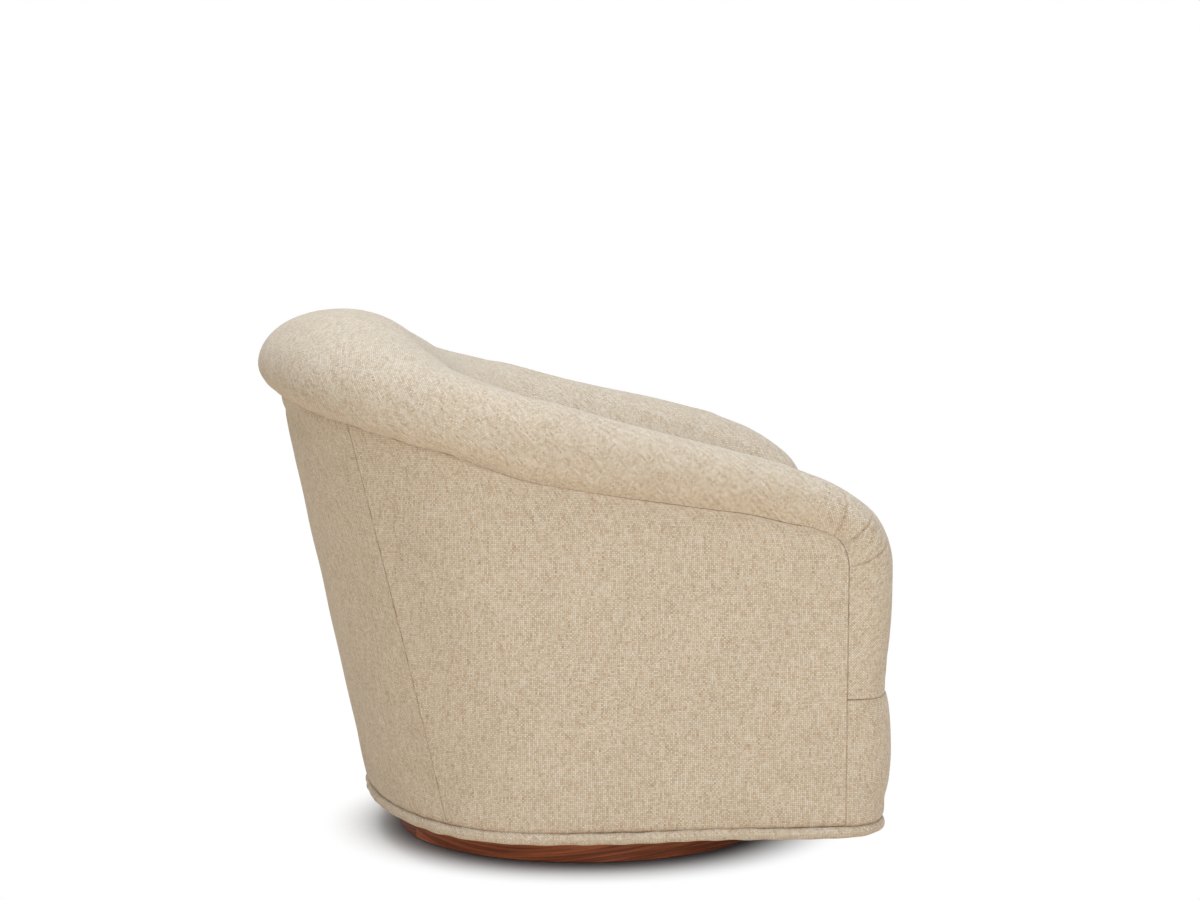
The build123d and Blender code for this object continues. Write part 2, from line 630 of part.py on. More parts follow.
with BuildPart() as spring_clips:
    with BuildSketch(Plane.XY.offset(FRONT_RAIL_TOP)):
        for end in (SPRING_FRONT, SPRING_REAR):
            with Locations((0, end)):
                with GridLocations(SPRING_SPACING, 0, SPRING_COUNT, 1):
                    Rectangle(CLIP_WIDTH, CLIP_LENGTH)
    extrude(amount=CLIP_HEIGHT)
    with BuildSketch(Plane.YZ):
        for end in (SPRING_FRONT, SPRING_REAR):
            with Locations((end, SPRING_HEIGHT)):
                Circle(SPRING_WIRE_RADIUS + TRIM_CLEARANCE)
    extrude(amount=FAR, both=True, mode=Mode.SUBTRACT)

with BuildPart() as seat_deck:
    well_body(PAD_BOTTOM, DECK_TOP, grow=-TRIM_CLEARANCE, front=DECK_FRONT)

# Upholstery inside the well

with BuildPart() as inside_arm_pad_right:
    well_body(PAD_BOTTOM, ABOVE_ALL, grow=PAD_THICKNESS)
    well_body(PAD_BOTTOM, ABOVE_ALL, mode=Mode.SUBTRACT)
    keep_box((-FAR, -SEAM_FRONT, 0), (0, ARM_PAD_END, FAR))
    add(under_seam.part, mode=Mode.INTERSECT)

with BuildPart() as inside_back_pad:
    well_body(PAD_BOTTOM, ABOVE_ALL, grow=PAD_THICKNESS)
    well_body(PAD_BOTTOM, ABOVE_ALL, mode=Mode.SUBTRACT)
    keep_box((-FAR, ARM_PAD_END, 0), (FAR, FAR, FAR))
    add(under_seam.part, mode=Mode.INTERSECT)

# Padded roll along the arms and round the back

with BuildPart() as arm_roll_right:
    cuts = [post_cut(DECK_TOP)]
    for step in range(CORNER_ROLL_CUTS):
        cuts.append(corner_cut(90 - 90 * step / CORNER_ROLL_CUTS))
    for step in range(ARM_ROLL_CUTS + 1):
        cuts.append(arm_cut(between(CORNER_CENTRE_Y, BACK_CURVE_START, step / ARM_ROLL_CUTS)))
    loft(cuts, ruled=True)
    add(under_seam.part, mode=Mode.SUBTRACT)

with BuildPart() as back_roll:
    loft([back_cut(180 * step / BACK_ROLL_CUTS) for step in range(BACK_ROLL_CUTS + 1)])
    add(under_seam.part, mode=Mode.SUBTRACT)

# Outside panels

with BuildPart() as back_gore:
    with BuildSketch(Plane.XZ):
        with BuildLine():
            slope = (BACK_PANEL_BOTTOM_HALF - BACK_PANEL_TOP_HALF) / (SEAM_BACK_HEIGHT - PANEL_BOTTOM)
            top_half = BACK_PANEL_BOTTOM_HALF - slope * (ABOVE_ALL - PANEL_BOTTOM)
            Polyline(
                (-BACK_PANEL_BOTTOM_HALF, PANEL_BOTTOM),
                (BACK_PANEL_BOTTOM_HALF, PANEL_BOTTOM),
                (top_half, ABOVE_ALL),
                (-top_half, ABOVE_ALL),
                close=True,
            )
        make_face()
    extrude(amount=-FAR)
    keep_box((-FAR, BACK_CURVE_START, 0), (FAR, FAR, FAR))

with BuildPart() as outside_skin:
    tub_body(PANEL_BOTTOM, ABOVE_ALL)
    tub_body(PANEL_BOTTOM, ABOVE_ALL, inset=SKIN, mode=Mode.SUBTRACT)
    add(under_seam.part, mode=Mode.INTERSECT)

with BuildPart() as outside_back_panel:
    add(outside_skin.part)
    add(back_gore.part, mode=Mode.INTERSECT)

with BuildPart() as outside_panel_right:
    add(outside_skin.part)
    add(back_gore.part, mode=Mode.SUBTRACT)
    keep_box((-FAR, -FAR, 0), (0, FAR, FAR))

# Loose seat cushion

with BuildPart() as seat_cushion:
    bottom = DECK_TOP + CUSHION_LIFT
    side_middle_height = (bottom + CUSHION_EDGE_HEIGHT) / 2
    loft(
        [
            cushion_plan(bottom, 1.5 * CUSHION_EDGE_ROUND),
            cushion_plan(bottom + CUSHION_EDGE_ROUND, CUSHION_EDGE_ROUND / 4),
            cushion_plan(side_middle_height, CUSHION_EDGE_ROUND / 6),
            cushion_plan(CUSHION_EDGE_HEIGHT, CUSHION_EDGE_ROUND / 4),
            cushion_plan(CUSHION_EDGE_HEIGHT + 0.65 * CUSHION_CROWN, 2.2 * CUSHION_EDGE_ROUND),
            cushion_plan(CUSHION_EDGE_HEIGHT + CUSHION_CROWN, 6 * CUSHION_EDGE_ROUND),
        ]
    )

pieces = {
    "floor_felt": floor_felt.part,
    "plinth_ring": plinth_ring.part,
    "plinth_board": plinth_board.part,
    "lower_bearing_plate": lower_bearing_plate,
    "plinth_screws": plinth_screws,
    "pivot_rivet": pivot_rivet.part,
    "ball_retainer": ball_retainer.part,
    "bearing_balls": bearing_balls.part,
    "upper_bearing_plate": upper_bearing_plate,
    "chair_screws": chair_screws,
    "base_board": base_board.part,
    "dust_cover": dust_cover.part,
    "bottom_welt": bottom_welt.part,
    "front_rail": front_rail.part,
    "back_rail": back_rail.part,
    "top_back_rail": top_back_rail.part,
    "rear_seat_rail": rear_seat_rail.part,
    "corner_blocks": corner_blocks.part,
    "inside_back_board": inside_back_board.part,
    "seat_springs": seat_springs.part,
    "spring_clips": spring_clips.part,
    "seat_deck": seat_deck.part,
    "inside_back_pad": inside_back_pad.part,
    "back_roll": back_roll.part,
    "front_apron": front_apron.part,
    "outside_back_panel": outside_back_panel.part,
    "seat_cushion": seat_cushion.part,
}

paired = {
    "side_rail": side_rail_right.part,
    "arm_post": arm_post_right.part,
    "arm_rail": arm_rail_right.part,
    "back_post": back_post_right.part,
    "inside_arm_board": inside_arm_board_right.part,
    "inside_arm_pad": inside_arm_pad_right.part,
    "arm_roll": arm_roll_right.part,
    "outside_panel": outside_panel_right.part,
}
for name, piece in paired.items():
    pieces[name + "_right"] = piece
    pieces[name + "_left"] = mirrored(piece)

os.makedirs("parts", exist_ok=True)
for name, piece in pieces.items():
    piece.label = name
    export_step(piece, f"parts/{name}.step")
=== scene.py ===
"""Dresses a barrel swivel chair: linen covers, padding, walnut and metal over its fixed frame."""

import json
import logging
from dataclasses import astuple, dataclass
from enum import Enum
from math import pi

import bpy
import numpy as np
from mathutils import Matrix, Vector


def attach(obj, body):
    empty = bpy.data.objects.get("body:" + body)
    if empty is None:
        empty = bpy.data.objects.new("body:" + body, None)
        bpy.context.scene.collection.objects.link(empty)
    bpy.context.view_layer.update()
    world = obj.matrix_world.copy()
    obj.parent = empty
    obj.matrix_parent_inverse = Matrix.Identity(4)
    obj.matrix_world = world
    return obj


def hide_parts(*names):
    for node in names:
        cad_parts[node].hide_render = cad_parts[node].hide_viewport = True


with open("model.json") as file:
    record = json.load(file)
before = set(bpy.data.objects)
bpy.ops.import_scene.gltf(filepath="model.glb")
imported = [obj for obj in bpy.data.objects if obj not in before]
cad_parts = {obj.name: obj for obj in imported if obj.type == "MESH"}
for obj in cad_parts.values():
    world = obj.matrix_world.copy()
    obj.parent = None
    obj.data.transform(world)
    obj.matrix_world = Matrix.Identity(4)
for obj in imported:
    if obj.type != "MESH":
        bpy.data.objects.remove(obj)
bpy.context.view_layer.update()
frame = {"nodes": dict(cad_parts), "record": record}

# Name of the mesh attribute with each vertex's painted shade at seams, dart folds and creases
SEAM_ATTRIBUTE = "seam_shade"
CLOTH_MAP = "cloth"
CHAIR = "chair"
LINEN_SLOT = "oatmeal_fabric"
DECK_SLOT = "deck_cloth"
DUST_SLOT = "dust_cloth"

Colour = tuple[float, float, float, float]
Place = tuple[float, float, float]

# Start and run of a smooth step, or the two ends of a range
Span = tuple[float, float]

BLACK: Colour = (0.0, 0.0, 0.0, 1.0)
WHITE: Colour = (1.0, 1.0, 1.0, 1.0)
UNIT: Span = (0.0, 1.0)
WAVE_SPREAD: Span = (0.7, 1.6)
MIRROR = np.array([-1.0, 1.0, 1.0])
MIRROR_PLAN = np.array([-1.0, 1.0])
TINY = 1e-9
TINY_AREA = 1e-12

# Painted shade in the crease above the welt, where a plain seam's painted shade has 1
DEEPEST = 2.1

# Corner angle given to stations round the back, where no part of the front corner reaches
FAR_BEHIND = -1000.0

log = logging.getLogger("swivel_chair")


class Side(Enum):
    """The chair's two sides, by the sign of their X."""

    RIGHT = -1.0
    LEFT = 1.0

    @property
    def word(self) -> str:
        """The side's name as it ends a piece's name."""
        return self.name.lower()


class Facing(Enum):
    """Which way a wall cover shows its face."""

    OUTWARD = 1.0
    INWARD = -1.0


# Helpers for covers laid out on grids of points


def ease(share: np.ndarray) -> np.ndarray:
    """Smooth step from 0 to 1."""
    share = np.clip(share, 0.0, 1.0)
    return share * share * (3.0 - 2.0 * share)


def rise(value: np.ndarray, span: Span) -> np.ndarray:
    """Smooth step from 0 to 1 that starts at a value and takes a run, the two numbers of its span."""
    start, run = span
    return ease((value - start) / run)


def level_line(start: float, end: float, height: float, count: int) -> np.ndarray:
    """Points in a row at one height, one row a point."""
    return np.stack([np.linspace(start, end, count), np.full(count, height)], 1)


def line_length(points: np.ndarray) -> float:
    """Length of a polyline."""
    return np.linalg.norm(np.diff(points, axis=0), axis=1).sum()


def with_height(flat: np.ndarray, height: np.ndarray) -> np.ndarray:
    """Points in plan, lifted to their heights."""
    return np.concatenate([flat, np.broadcast_to(height, flat.shape[:-1])[..., None]], -1)


def plan_normals(line: np.ndarray) -> np.ndarray:
    """Unit normals of a closed line in plan, away from the middle."""
    tangent = np.roll(line, -1, axis=0) - np.roll(line, 1, axis=0)
    tangent /= np.linalg.norm(tangent, axis=1, keepdims=True)
    normal = np.stack([tangent[:, 1], -tangent[:, 0]], 1)
    return normal * np.sign((normal * line).sum(1).mean())


def edge_spacing(length: float, fine: float, coarse: float, growth: float = 1.45) -> np.ndarray:
    """Grid lines that close up towards both ends of a length.

    Args:
        length: the whole length, in metres.
        fine: the first step from either end.
        coarse: the step in the middle.
        growth: how much each step grows on the one before.

    Returns:
        Shares of the length, from 0 to 1.
    """
    head = [0.0]
    step = fine
    while step < coarse and head[-1] < length / 4:
        head.append(head[-1] + step)
        step *= growth
    middle = length - 2 * head[-1]
    count = max(int(round(middle / coarse)), 1)
    inside = head[-1] + middle * np.arange(1, count) / count
    tail = length - np.array(head[::-1])
    return np.concatenate([head, inside, tail]) / length


def along(points: np.ndarray, shares: np.ndarray) -> np.ndarray:
    """Points at the given shares of a polyline's length, from 0 to 1, one row each."""
    steps = np.linalg.norm(np.diff(points, axis=0), axis=1)
    run = np.concatenate([[0.0], np.cumsum(steps)]) / steps.sum()
    return np.stack([np.interp(shares, run, column) for column in points.T], axis=1)


def patch(first: np.ndarray, last: np.ndarray, low: np.ndarray, high: np.ndarray,
          rows: np.ndarray, columns: np.ndarray) -> np.ndarray:
    """A grid spanned between four edge curves.

    Args:
        first: edge at row 0, running along the columns.
        last: edge at the last row.
        low: edge at column 0, running along the rows.
        high: edge at the last column.
        rows: row places from 0 to 1.
        columns: column places from 0 to 1.

    Returns:
        Points as rows by columns by coordinates.
    """
    a = rows[:, None, None]
    b = columns[None, :, None]
    start, end = along(first, columns)[None], along(last, columns)[None]
    under, over = along(low, rows)[:, None], along(high, rows)[:, None]
    corners = (1 - a) * ((1 - b) * first[0] + b * first[-1]) + a * ((1 - b) * last[0] + b * last[-1])
    return (1 - a) * start + a * end + (1 - b) * under + b * over - corners


def grid_normals(points: np.ndarray) -> np.ndarray:
    """Unit normals of a grid of points."""
    normal = np.cross(np.gradient(points, axis=0), np.gradient(points, axis=1))
    return normal / np.maximum(np.linalg.norm(normal, axis=2, keepdims=True), TINY_AREA)


def grid_runs(points: np.ndarray) -> tuple[np.ndarray, np.ndarray]:
    """How far each grid point is from the first row and from the first column, along the grid."""
    down = np.zeros(points.shape[:2])
    across = np.zeros(points.shape[:2])
    down[1:] = np.cumsum(np.linalg.norm(np.diff(points, axis=0), axis=2), axis=0)
    across[:, 1:] = np.cumsum(np.linalg.norm(np.diff(points, axis=1), axis=2), axis=1)
    return down, across


def edge_distances(points: np.ndarray) -> list[np.ndarray]:
    """Distances of every grid point from the first row, last row, first column and last column."""
    down, across = grid_runs(points)
    return [down, down[-1:] - down, across, across[:, -1:] - across]


def tuck(distance: np.ndarray, radius: float) -> np.ndarray:
    """Depth to which a cover turns in at a seam, rounded by a radius."""
    near = np.clip(1.0 - distance / radius, 0.0, 1.0)
    return radius * (1.0 - np.sqrt(1.0 - near * near))


def ripple(u: np.ndarray, v: np.ndarray, wave: float, seed: int, count: int = 9) -> np.ndarray:
    """A soft uneven field made of a few crossing waves.

    Args:
        u: first surface coordinate, in metres.
        v: second surface coordinate.
        wave: the main wavelength.
        seed: picks the waves.
        count: how many waves.

    Returns:
        Values of about -1 to 1.
    """
    draw = np.random.default_rng(seed)
    total = np.zeros(np.broadcast(u, v).shape)
    for _ in range(count):
        turn = draw.uniform(0, 2 * pi)
        length = wave * draw.uniform(*WAVE_SPREAD)
        total += np.sin(2 * pi * (u * np.cos(turn) + v * np.sin(turn)) / length + draw.uniform(0, 2 * pi))
    return total / np.sqrt(count)


def cubic_resample(values: np.ndarray, places: np.ndarray, axis: int) -> np.ndarray:
    """Smoothly reads evenly spaced values at other places along one axis.

    Args:
        values: evenly spaced samples from place 0 to place 1.
        places: where to read, from 0 to 1.
        axis: the axis that is read.

    Returns:
        The values with that axis resampled.
    """
    values = np.moveaxis(values, axis, 0)
    last = len(values) - 1
    spot = np.clip(places, 0.0, 1.0) * last
    index = np.minimum(spot.astype(int), last - 1)
    t = (spot - index).reshape((-1,) + (1,) * (values.ndim - 1))
    before, after = values[np.maximum(index - 1, 0)], values[np.minimum(index + 2, last)]
    start, end = values[index], values[index + 1]
    slope_in, slope_out = (end - before) / 2, (after - start) / 2
    result = ((2 * t**3 - 3 * t**2 + 1) * start + (t**3 - 2 * t**2 + t) * slope_in
              + (3 * t**2 - 2 * t**3) * end + (t**3 - t**2) * slope_out)
    return np.moveaxis(result, 0, axis)


def grid_resample(values: np.ndarray, rows: np.ndarray, columns: np.ndarray) -> np.ndarray:
    """Smoothly reads an evenly spaced grid at other rows and columns, given from 0 to 1."""
    return cubic_resample(cubic_resample(values, rows, 0), columns, 1)


def face_list(quads: np.ndarray) -> list[tuple[int, ...]]:
    """Quads of vertex indices in the form a mesh takes."""
    return [tuple(quad) for quad in quads.reshape(-1, 4).tolist()]


def grid_faces(rows: int, columns: int, offset: int = 0, flip: bool = False) -> list[tuple[int, ...]]:
    """Quads of one grid of vertices that are numbered from an offset, turned over where asked."""
    index = np.arange(rows * columns).reshape(rows, columns) + offset
    quads = np.stack([index[:-1, :-1], index[1:, :-1], index[1:, 1:], index[:-1, 1:]], axis=-1)
    return face_list(quads[..., ::-1] if flip else quads)


def border_loop(rows: int, columns: int) -> np.ndarray:
    """Indices of a grid's border, once round."""
    index = np.arange(rows * columns).reshape(rows, columns)
    return np.concatenate([index[:-1, 0], index[-1, :-1], index[:0:-1, -1], index[0, :0:-1]])


def new_object(name: str, points: np.ndarray, faces: list, cloth: np.ndarray | None = None,
               shade: np.ndarray | None = None, smooth_levels: int = 1) -> bpy.types.Object:
    """Makes a smooth mesh object.

    Args:
        name: the piece's name.
        points: vertex places, one row each.
        faces: vertex indices of each face.
        cloth: flat place of each vertex on the cut cloth, in metres.
        shade: painted shade of each vertex at seams: 1 in a plain seam, more in a crease.
        smooth_levels: levels of subdivision.

    Returns:
        The linked object.
    """
    mesh = bpy.data.meshes.new(name)
    mesh.from_pydata(points.tolist(), [], faces)
    mesh.shade_smooth()
    if cloth is not None:
        corner = np.zeros(len(mesh.loops), dtype=np.int32)
        mesh.loops.foreach_get("vertex_index", corner)
        layer = mesh.uv_layers.new(name=CLOTH_MAP)
        layer.data.foreach_set("uv", cloth[corner].astype(np.float32).ravel())
    if shade is not None:
        attribute = mesh.attributes.new(SEAM_ATTRIBUTE, "FLOAT", "POINT")
        attribute.data.foreach_set("value", shade.astype(np.float32))
    piece = bpy.data.objects.new(name, mesh)
    bpy.context.scene.collection.objects.link(piece)
    if smooth_levels:
        smooth = piece.modifiers.new("smooth", "SUBSURF")
        smooth.levels = smooth.render_levels = smooth_levels
    return piece


def shell(name: str, outer: np.ndarray, inner: np.ndarray, cloth: np.ndarray, shade: np.ndarray,
          flip: bool) -> bpy.types.Object:
    """A closed cover: a shown grid, a hidden grid behind it and a border between them.

    Args:
        name: the piece's name.
        outer: the shown grid.
        inner: the hidden grid, of the same shape.
        cloth: flat place of each shown point on the cut cloth.
        shade: painted seam shade of each shown point.
        flip: turn all the faces over.

    Returns:
        The linked object.
    """
    rows, columns = outer.shape[:2]
    size = rows * columns
    faces = grid_faces(rows, columns, 0, flip) + grid_faces(rows, columns, size, not flip)
    loop = border_loop(rows, columns)
    for here, there in zip(loop, np.roll(loop, -1)):
        side = (here, there, there + size, here + size)
        faces.append(tuple(int(i) for i in (side if flip else side[::-1])))
    points = np.concatenate([outer.reshape(-1, 3), inner.reshape(-1, 3)])
    flat = cloth.reshape(-1, 2)
    # The hidden grid gets the painted shade of a plain seam
    painted_shade = np.concatenate([shade.ravel(), np.ones(size)])
    return new_object(name, points, faces, np.concatenate([flat, flat]), painted_shade, smooth_levels=0)


@dataclass(frozen=True)
class Stuffing:
    """A cover's padding, its depth and how tightly it fills, and how it blows the cover up."""

    depth: float = 0.0
    fill: float = 0.8
    pressure: float = 2.5
    fullness: float = 0.012
    limit: float = 0.005
    frames: int = 18
    bending: float = 1.2
    quality: int = 6
    mass: float = 0.4
    stretch: float = 25.0
    shear: float = 12.0
    damping: float = 4.0

    def settle(self, points: np.ndarray, faces: list, held: np.ndarray) -> np.ndarray:
        """Simulates the cover and returns how far each point moves.

        Args:
            points: resting places, one row each.
            faces: vertex indices of each face.
            held: which points are sewn down.

        Returns:
            A move for each point, no longer than the limit.
        """
        cover = new_object("cover_trial", points, faces, smooth_levels=0)
        group = cover.vertex_groups.new(name="held")
        group.add(np.flatnonzero(held).tolist(), 1.0, "REPLACE")
        cloth = cover.modifiers.new("stuffing", "CLOTH")
        settings = cloth.settings
        settings.quality = self.quality
        settings.mass = self.mass
        settings.tension_stiffness = settings.compression_stiffness = self.stretch
        settings.shear_stiffness = self.shear
        settings.bending_stiffness = self.bending
        settings.air_damping = self.damping
        settings.shrink_min = -self.fullness
        settings.use_pressure = True
        settings.uniform_pressure_force = self.pressure
        settings.vertex_group_mass = group.name
        settings.effector_weights.gravity = 0.0
        cloth.collision_settings.use_collision = False
        cloth.collision_settings.use_self_collision = False
        cloth.point_cache.frame_start = 1
        cloth.point_cache.frame_end = self.frames
        scene = bpy.context.scene
        for number in range(1, self.frames + 1):
            scene.frame_set(number)
        flat = np.zeros(points.size)
        settled = cover.evaluated_get(bpy.context.evaluated_depsgraph_get()).data
        settled.vertices.foreach_get("co", flat)
        scene.frame_set(1)
        mesh = cover.data
        bpy.data.objects.remove(cover)
        bpy.data.meshes.remove(mesh)
        move = flat.reshape(-1, 3) - points
        reach = np.linalg.norm(move, axis=1, keepdims=True)
        return move * (self.limit * np.tanh(reach / self.limit) / np.maximum(reach, TINY))

    def settle_grid(self, points: np.ndarray, flip: bool) -> np.ndarray:
        """Moves of an evenly spaced grid that is sewn down along its border, pushed back where flipped."""
        rows, columns = points.shape[:2]
        held = np.zeros((rows, columns), dtype=bool)
        held[[0, -1]] = True
        held[:, [0, -1]] = True
        faces = grid_faces(rows, columns, 0, flip)
        return self.settle(points.reshape(-1, 3), faces, held.ravel()).reshape(points.shape)


# The chair's shape


@dataclass(frozen=True)
class Wall:
    """One upright wall with straight sides and a rounded back, sized at two heights."""

    low: float
    high: float
    half_low: float
    half_high: float
    depth_low: float
    depth_high: float
    curve_start: float
    turn: float = 0.32

    def size(self, z: np.ndarray) -> tuple[np.ndarray, np.ndarray]:
        """Half width and back depth at a height."""
        share = (z - self.low) / (self.high - self.low)
        half = self.half_low + (self.half_high - self.half_low) * share
        return half, self.depth_low + (self.depth_high - self.depth_low) * share

    def place(self, w: np.ndarray, z: np.ndarray) -> np.ndarray:
        """The wall's point at a way round it, from the right front, and a height."""
        half, depth = self.size(z)
        angle = np.maximum(w - self.curve_start, 0.0) / self.turn
        x = -half * np.cos(angle)
        y = np.minimum(w, self.curve_start) + depth * np.sin(angle)
        return np.stack(np.broadcast_arrays(x, y, z), axis=-1)

    def way_at_width(self, across: np.ndarray, z: np.ndarray) -> np.ndarray:
        """The way round to where the rounded back is this far from the middle."""
        return self.curve_start + self.turn * np.arccos(across / self.size(z)[0])

    def way_at_depth(self, y: float, z: np.ndarray) -> np.ndarray:
        """The way round to where the rounded back reaches this far back."""
        return self.curve_start + self.turn * np.arcsin((y - self.curve_start) / self.size(z)[1])

    def mirrored_way(self, w: np.ndarray) -> np.ndarray:
        """The same place on the left side."""
        return 2 * self.curve_start + self.turn * pi - w


@dataclass(frozen=True)
class TubForm:
    """The tub's walls and the seam under its roll, in metres and corner degrees."""

    panel_bottom: float = 0.0655
    front_reach: float = 0.375
    front_corner: float = 0.066
    seam_front: float = 0.306
    seam_corner: float = 0.066
    seam_arm_height: float = 0.476
    seam_back_reach: float = 0.417
    seam_back_height: float = 0.599
    seam_sag: float = 0.012
    back_lift: float = 0.014
    lift_on: Span = (0.10, 0.13)
    corner_drop: float = 0.0085
    drop_on: Span = (-70.0, 80.0)
    drop_off: Span = (22.0, 40.0)
    corner_points: int = 24
    edge_points: int = 160
    edge_passes: int = 6
    deck_top: float = 0.238
    well_half: float = 0.250
    back_seam_low: float = 0.293
    back_seam_high: float = 0.240
    outside: Wall = Wall(0.071, 0.599, 0.362, 0.373, 0.225, 0.337, 0.080)
    well: Wall = Wall(0.238, 0.599, 0.250, 0.250, 0.181, 0.222, -0.020)

    @property
    def corner_y(self) -> float:
        """Where the seam's front corner is centred, along the chair."""
        return self.seam_corner - self.seam_front

    @property
    def corner_z(self) -> float:
        """Height of the centre of the seam's front corner."""
        return self.seam_arm_height - self.seam_corner

    def turn_at(self, y: np.ndarray) -> np.ndarray:
        """Places along the arm as degrees round the seam's front corner, below zero behind it."""
        return np.degrees((self.corner_y - y) / self.seam_corner)

    def lift(self, y: np.ndarray) -> np.ndarray:
        """How far the seam is sewn above its arc towards the back."""
        return self.back_lift * rise(y, self.lift_on)

    def drop(self, turn: np.ndarray) -> np.ndarray:
        """How far the seam cuts inside its round front corner, by corner degrees."""
        return self.corner_drop * rise(turn, self.drop_on) * (1.0 - rise(turn, self.drop_off))

    def seam_height(self, y: np.ndarray) -> np.ndarray:
        """Height of the roll's seam along the arm and round the back: a shallow arc, eased at both ends."""
        run = self.seam_back_reach - self.corner_y
        climb = self.seam_back_height - self.seam_arm_height
        chord = np.hypot(run, climb)
        radius = chord**2 / (8 * self.seam_sag) + self.seam_sag / 2
        lift = radius - self.seam_sag
        centre_y = self.corner_y + run / 2 - climb / chord * lift
        centre_z = self.seam_arm_height + climb / 2 + run / chord * lift
        arc = centre_z - np.sqrt(radius**2 - (y - centre_y) ** 2)
        return arc + self.lift(y) - self.drop(self.turn_at(y))

    def back_seam(self, z: np.ndarray) -> np.ndarray:
        """How far the seam beside the outside back panel is from the middle at a height."""
        share = (z - self.panel_bottom) / (self.seam_back_height - self.panel_bottom)
        return self.back_seam_low + (self.back_seam_high - self.back_seam_low) * share

    def corner_arc(self, start: float, end: float) -> np.ndarray:
        """Points of the seam's front corner between two angles, as way round and height."""
        angle = np.radians(np.linspace(start, end, self.corner_points))
        radius = self.seam_corner - self.drop(np.degrees(angle) - 90.0)
        turned = radius[:, None] * np.stack([np.cos(angle), np.sin(angle)], 1)
        return turned + (self.corner_y, self.corner_z)

    def top_edge(self, wall: Wall, start: float, end: float) -> np.ndarray:
        """Points of the roll's seam on one wall, from one way round to another, as way and height."""
        ways = np.linspace(start, end, self.edge_points)
        heights = np.full_like(ways, self.seam_arm_height)
        for _ in range(self.edge_passes):
            heights = self.seam_height(wall.place(ways, heights)[:, 1])
        return np.stack([ways, heights], axis=1)


@dataclass(frozen=True)
class RollSection:
    """One cut through the padded roll, measured from its outside seam, in metres."""

    overhang: float
    overhang_rise: float
    apex_inset: float
    apex_rise: float
    inner_rise: float


@dataclass(frozen=True)
class Dart:
    """A sewn pleat on the front corner of the roll, by corner angle at its foot and its tip."""

    foot: float
    tip: float
    reach: float
    depth: float


# Finishes


class NodeDesk:
    """Adds and links nodes in one shader tree."""

    def __init__(self, tree: bpy.types.NodeTree) -> None:
        """Works on a tree."""
        self.tree = tree

    def add(self, kind: str, inputs: dict | None = None, **settings: object) -> bpy.types.Node:
        """Adds a node.

        Args:
            kind: the node's type, without its leading words.
            inputs: values or sockets for its inputs.
            settings: properties of the node.

        Returns:
            The node.
        """
        node = self.tree.nodes.new("ShaderNode" + kind)
        for key, value in settings.items():
            setattr(node, key, value)
        self.feed_all(node, inputs or {})
        return node

    def feed(self, socket: bpy.types.NodeSocket, value: object) -> None:
        """Links a socket to another, or sets its value."""
        if isinstance(value, bpy.types.NodeSocket):
            self.tree.links.new(value, socket)
        else:
            socket.default_value = value

    def feed_all(self, node: bpy.types.Node, inputs: dict) -> None:
        """Feeds several inputs of a node, by name or number."""
        for key, value in inputs.items():
            self.feed(node.inputs[key], value)

    def math(self, operation: str, *values: object) -> bpy.types.NodeSocket:
        """A number worked out from others."""
        return self.add("Math", dict(enumerate(values)), operation=operation).outputs[0]

    def vector(self, operation: str, first: object, second: object) -> bpy.types.NodeSocket:
        """A vector worked out from two others."""
        return self.add("VectorMath", {0: first, 1: second}, operation=operation).outputs[0]

    def scaled(self, where: object, scale: object) -> bpy.types.NodeSocket:
        """A vector times a number."""
        return self.add("VectorMath", {0: where, "Scale": scale}, operation="SCALE").outputs[0]

    def noise(self, where: object, scale: float, detail: float = 2.0) -> bpy.types.NodeSocket:
        """Soft noise of 0 to 1 at a place."""
        inputs = {"Vector": where, "Scale": scale, "Detail": detail}
        return self.add("TexNoise", inputs).outputs[0]

    def join(self, x: object, y: object, z: object = 0.0) -> bpy.types.NodeSocket:
        """A vector from three numbers."""
        return self.add("CombineXYZ", {0: x, 1: y, 2: z}).outputs[0]

    def parts(self, where: object) -> list[bpy.types.NodeSocket]:
        """A vector's three numbers."""
        return list(self.add("SeparateXYZ", {0: where}).outputs)

    def blend(self, share: object, low: object, high: object) -> bpy.types.NodeSocket:
        """A number part of the way from low to high."""
        return self.add("Mix", {0: share, 2: low, 3: high}, data_type="FLOAT").outputs[0]

    def tint(self, share: object, low: object, high: object, mode: str = "MIX") -> bpy.types.NodeSocket:
        """A colour part of the way from low to high."""
        node = self.add("Mix", {0: share, 6: low, 7: high}, data_type="RGBA", blend_type=mode)
        return node.outputs[2]

    def remap(self, value: object, source: Span, target: Span, mode: str = "LINEAR") -> bpy.types.NodeSocket:
        """A number moved from one range to another and held at its ends."""
        inputs = {0: value, 1: source[0], 2: source[1], 3: target[0], 4: target[1]}
        return self.add("MapRange", inputs, interpolation_type=mode).outputs[0]

    def ramp(self, share: object, stops: list[tuple[float, Colour]]) -> bpy.types.NodeSocket:
        """A colour read from a ramp of stops."""
        node = self.add("ValToRGB", {0: share})
        ends = node.color_ramp.elements
        for _ in range(len(stops) - 2):
            ends.new(0.5)
        for element, (place, colour) in zip(ends, stops):
            element.position = place
            element.color = colour
        return node.outputs[0]

    def bump(self, height: object, strength: float, depth: float) -> bpy.types.NodeSocket:
        """A normal that shows a height as relief of a depth in metres."""
        return self.add("Bump", {"Strength": strength, "Distance": depth, "Height": height}).outputs[0]

    def object_place(self) -> bpy.types.NodeSocket:
        """The place on the piece that is shaded, in its own axes."""
        return self.add("TexCoord").outputs["Object"]

    def group(self, tree: bpy.types.NodeTree, inputs: dict) -> bpy.types.NodeOutputs:
        """Places a node group and returns its outputs."""
        return self.add("Group", inputs, node_tree=tree).outputs


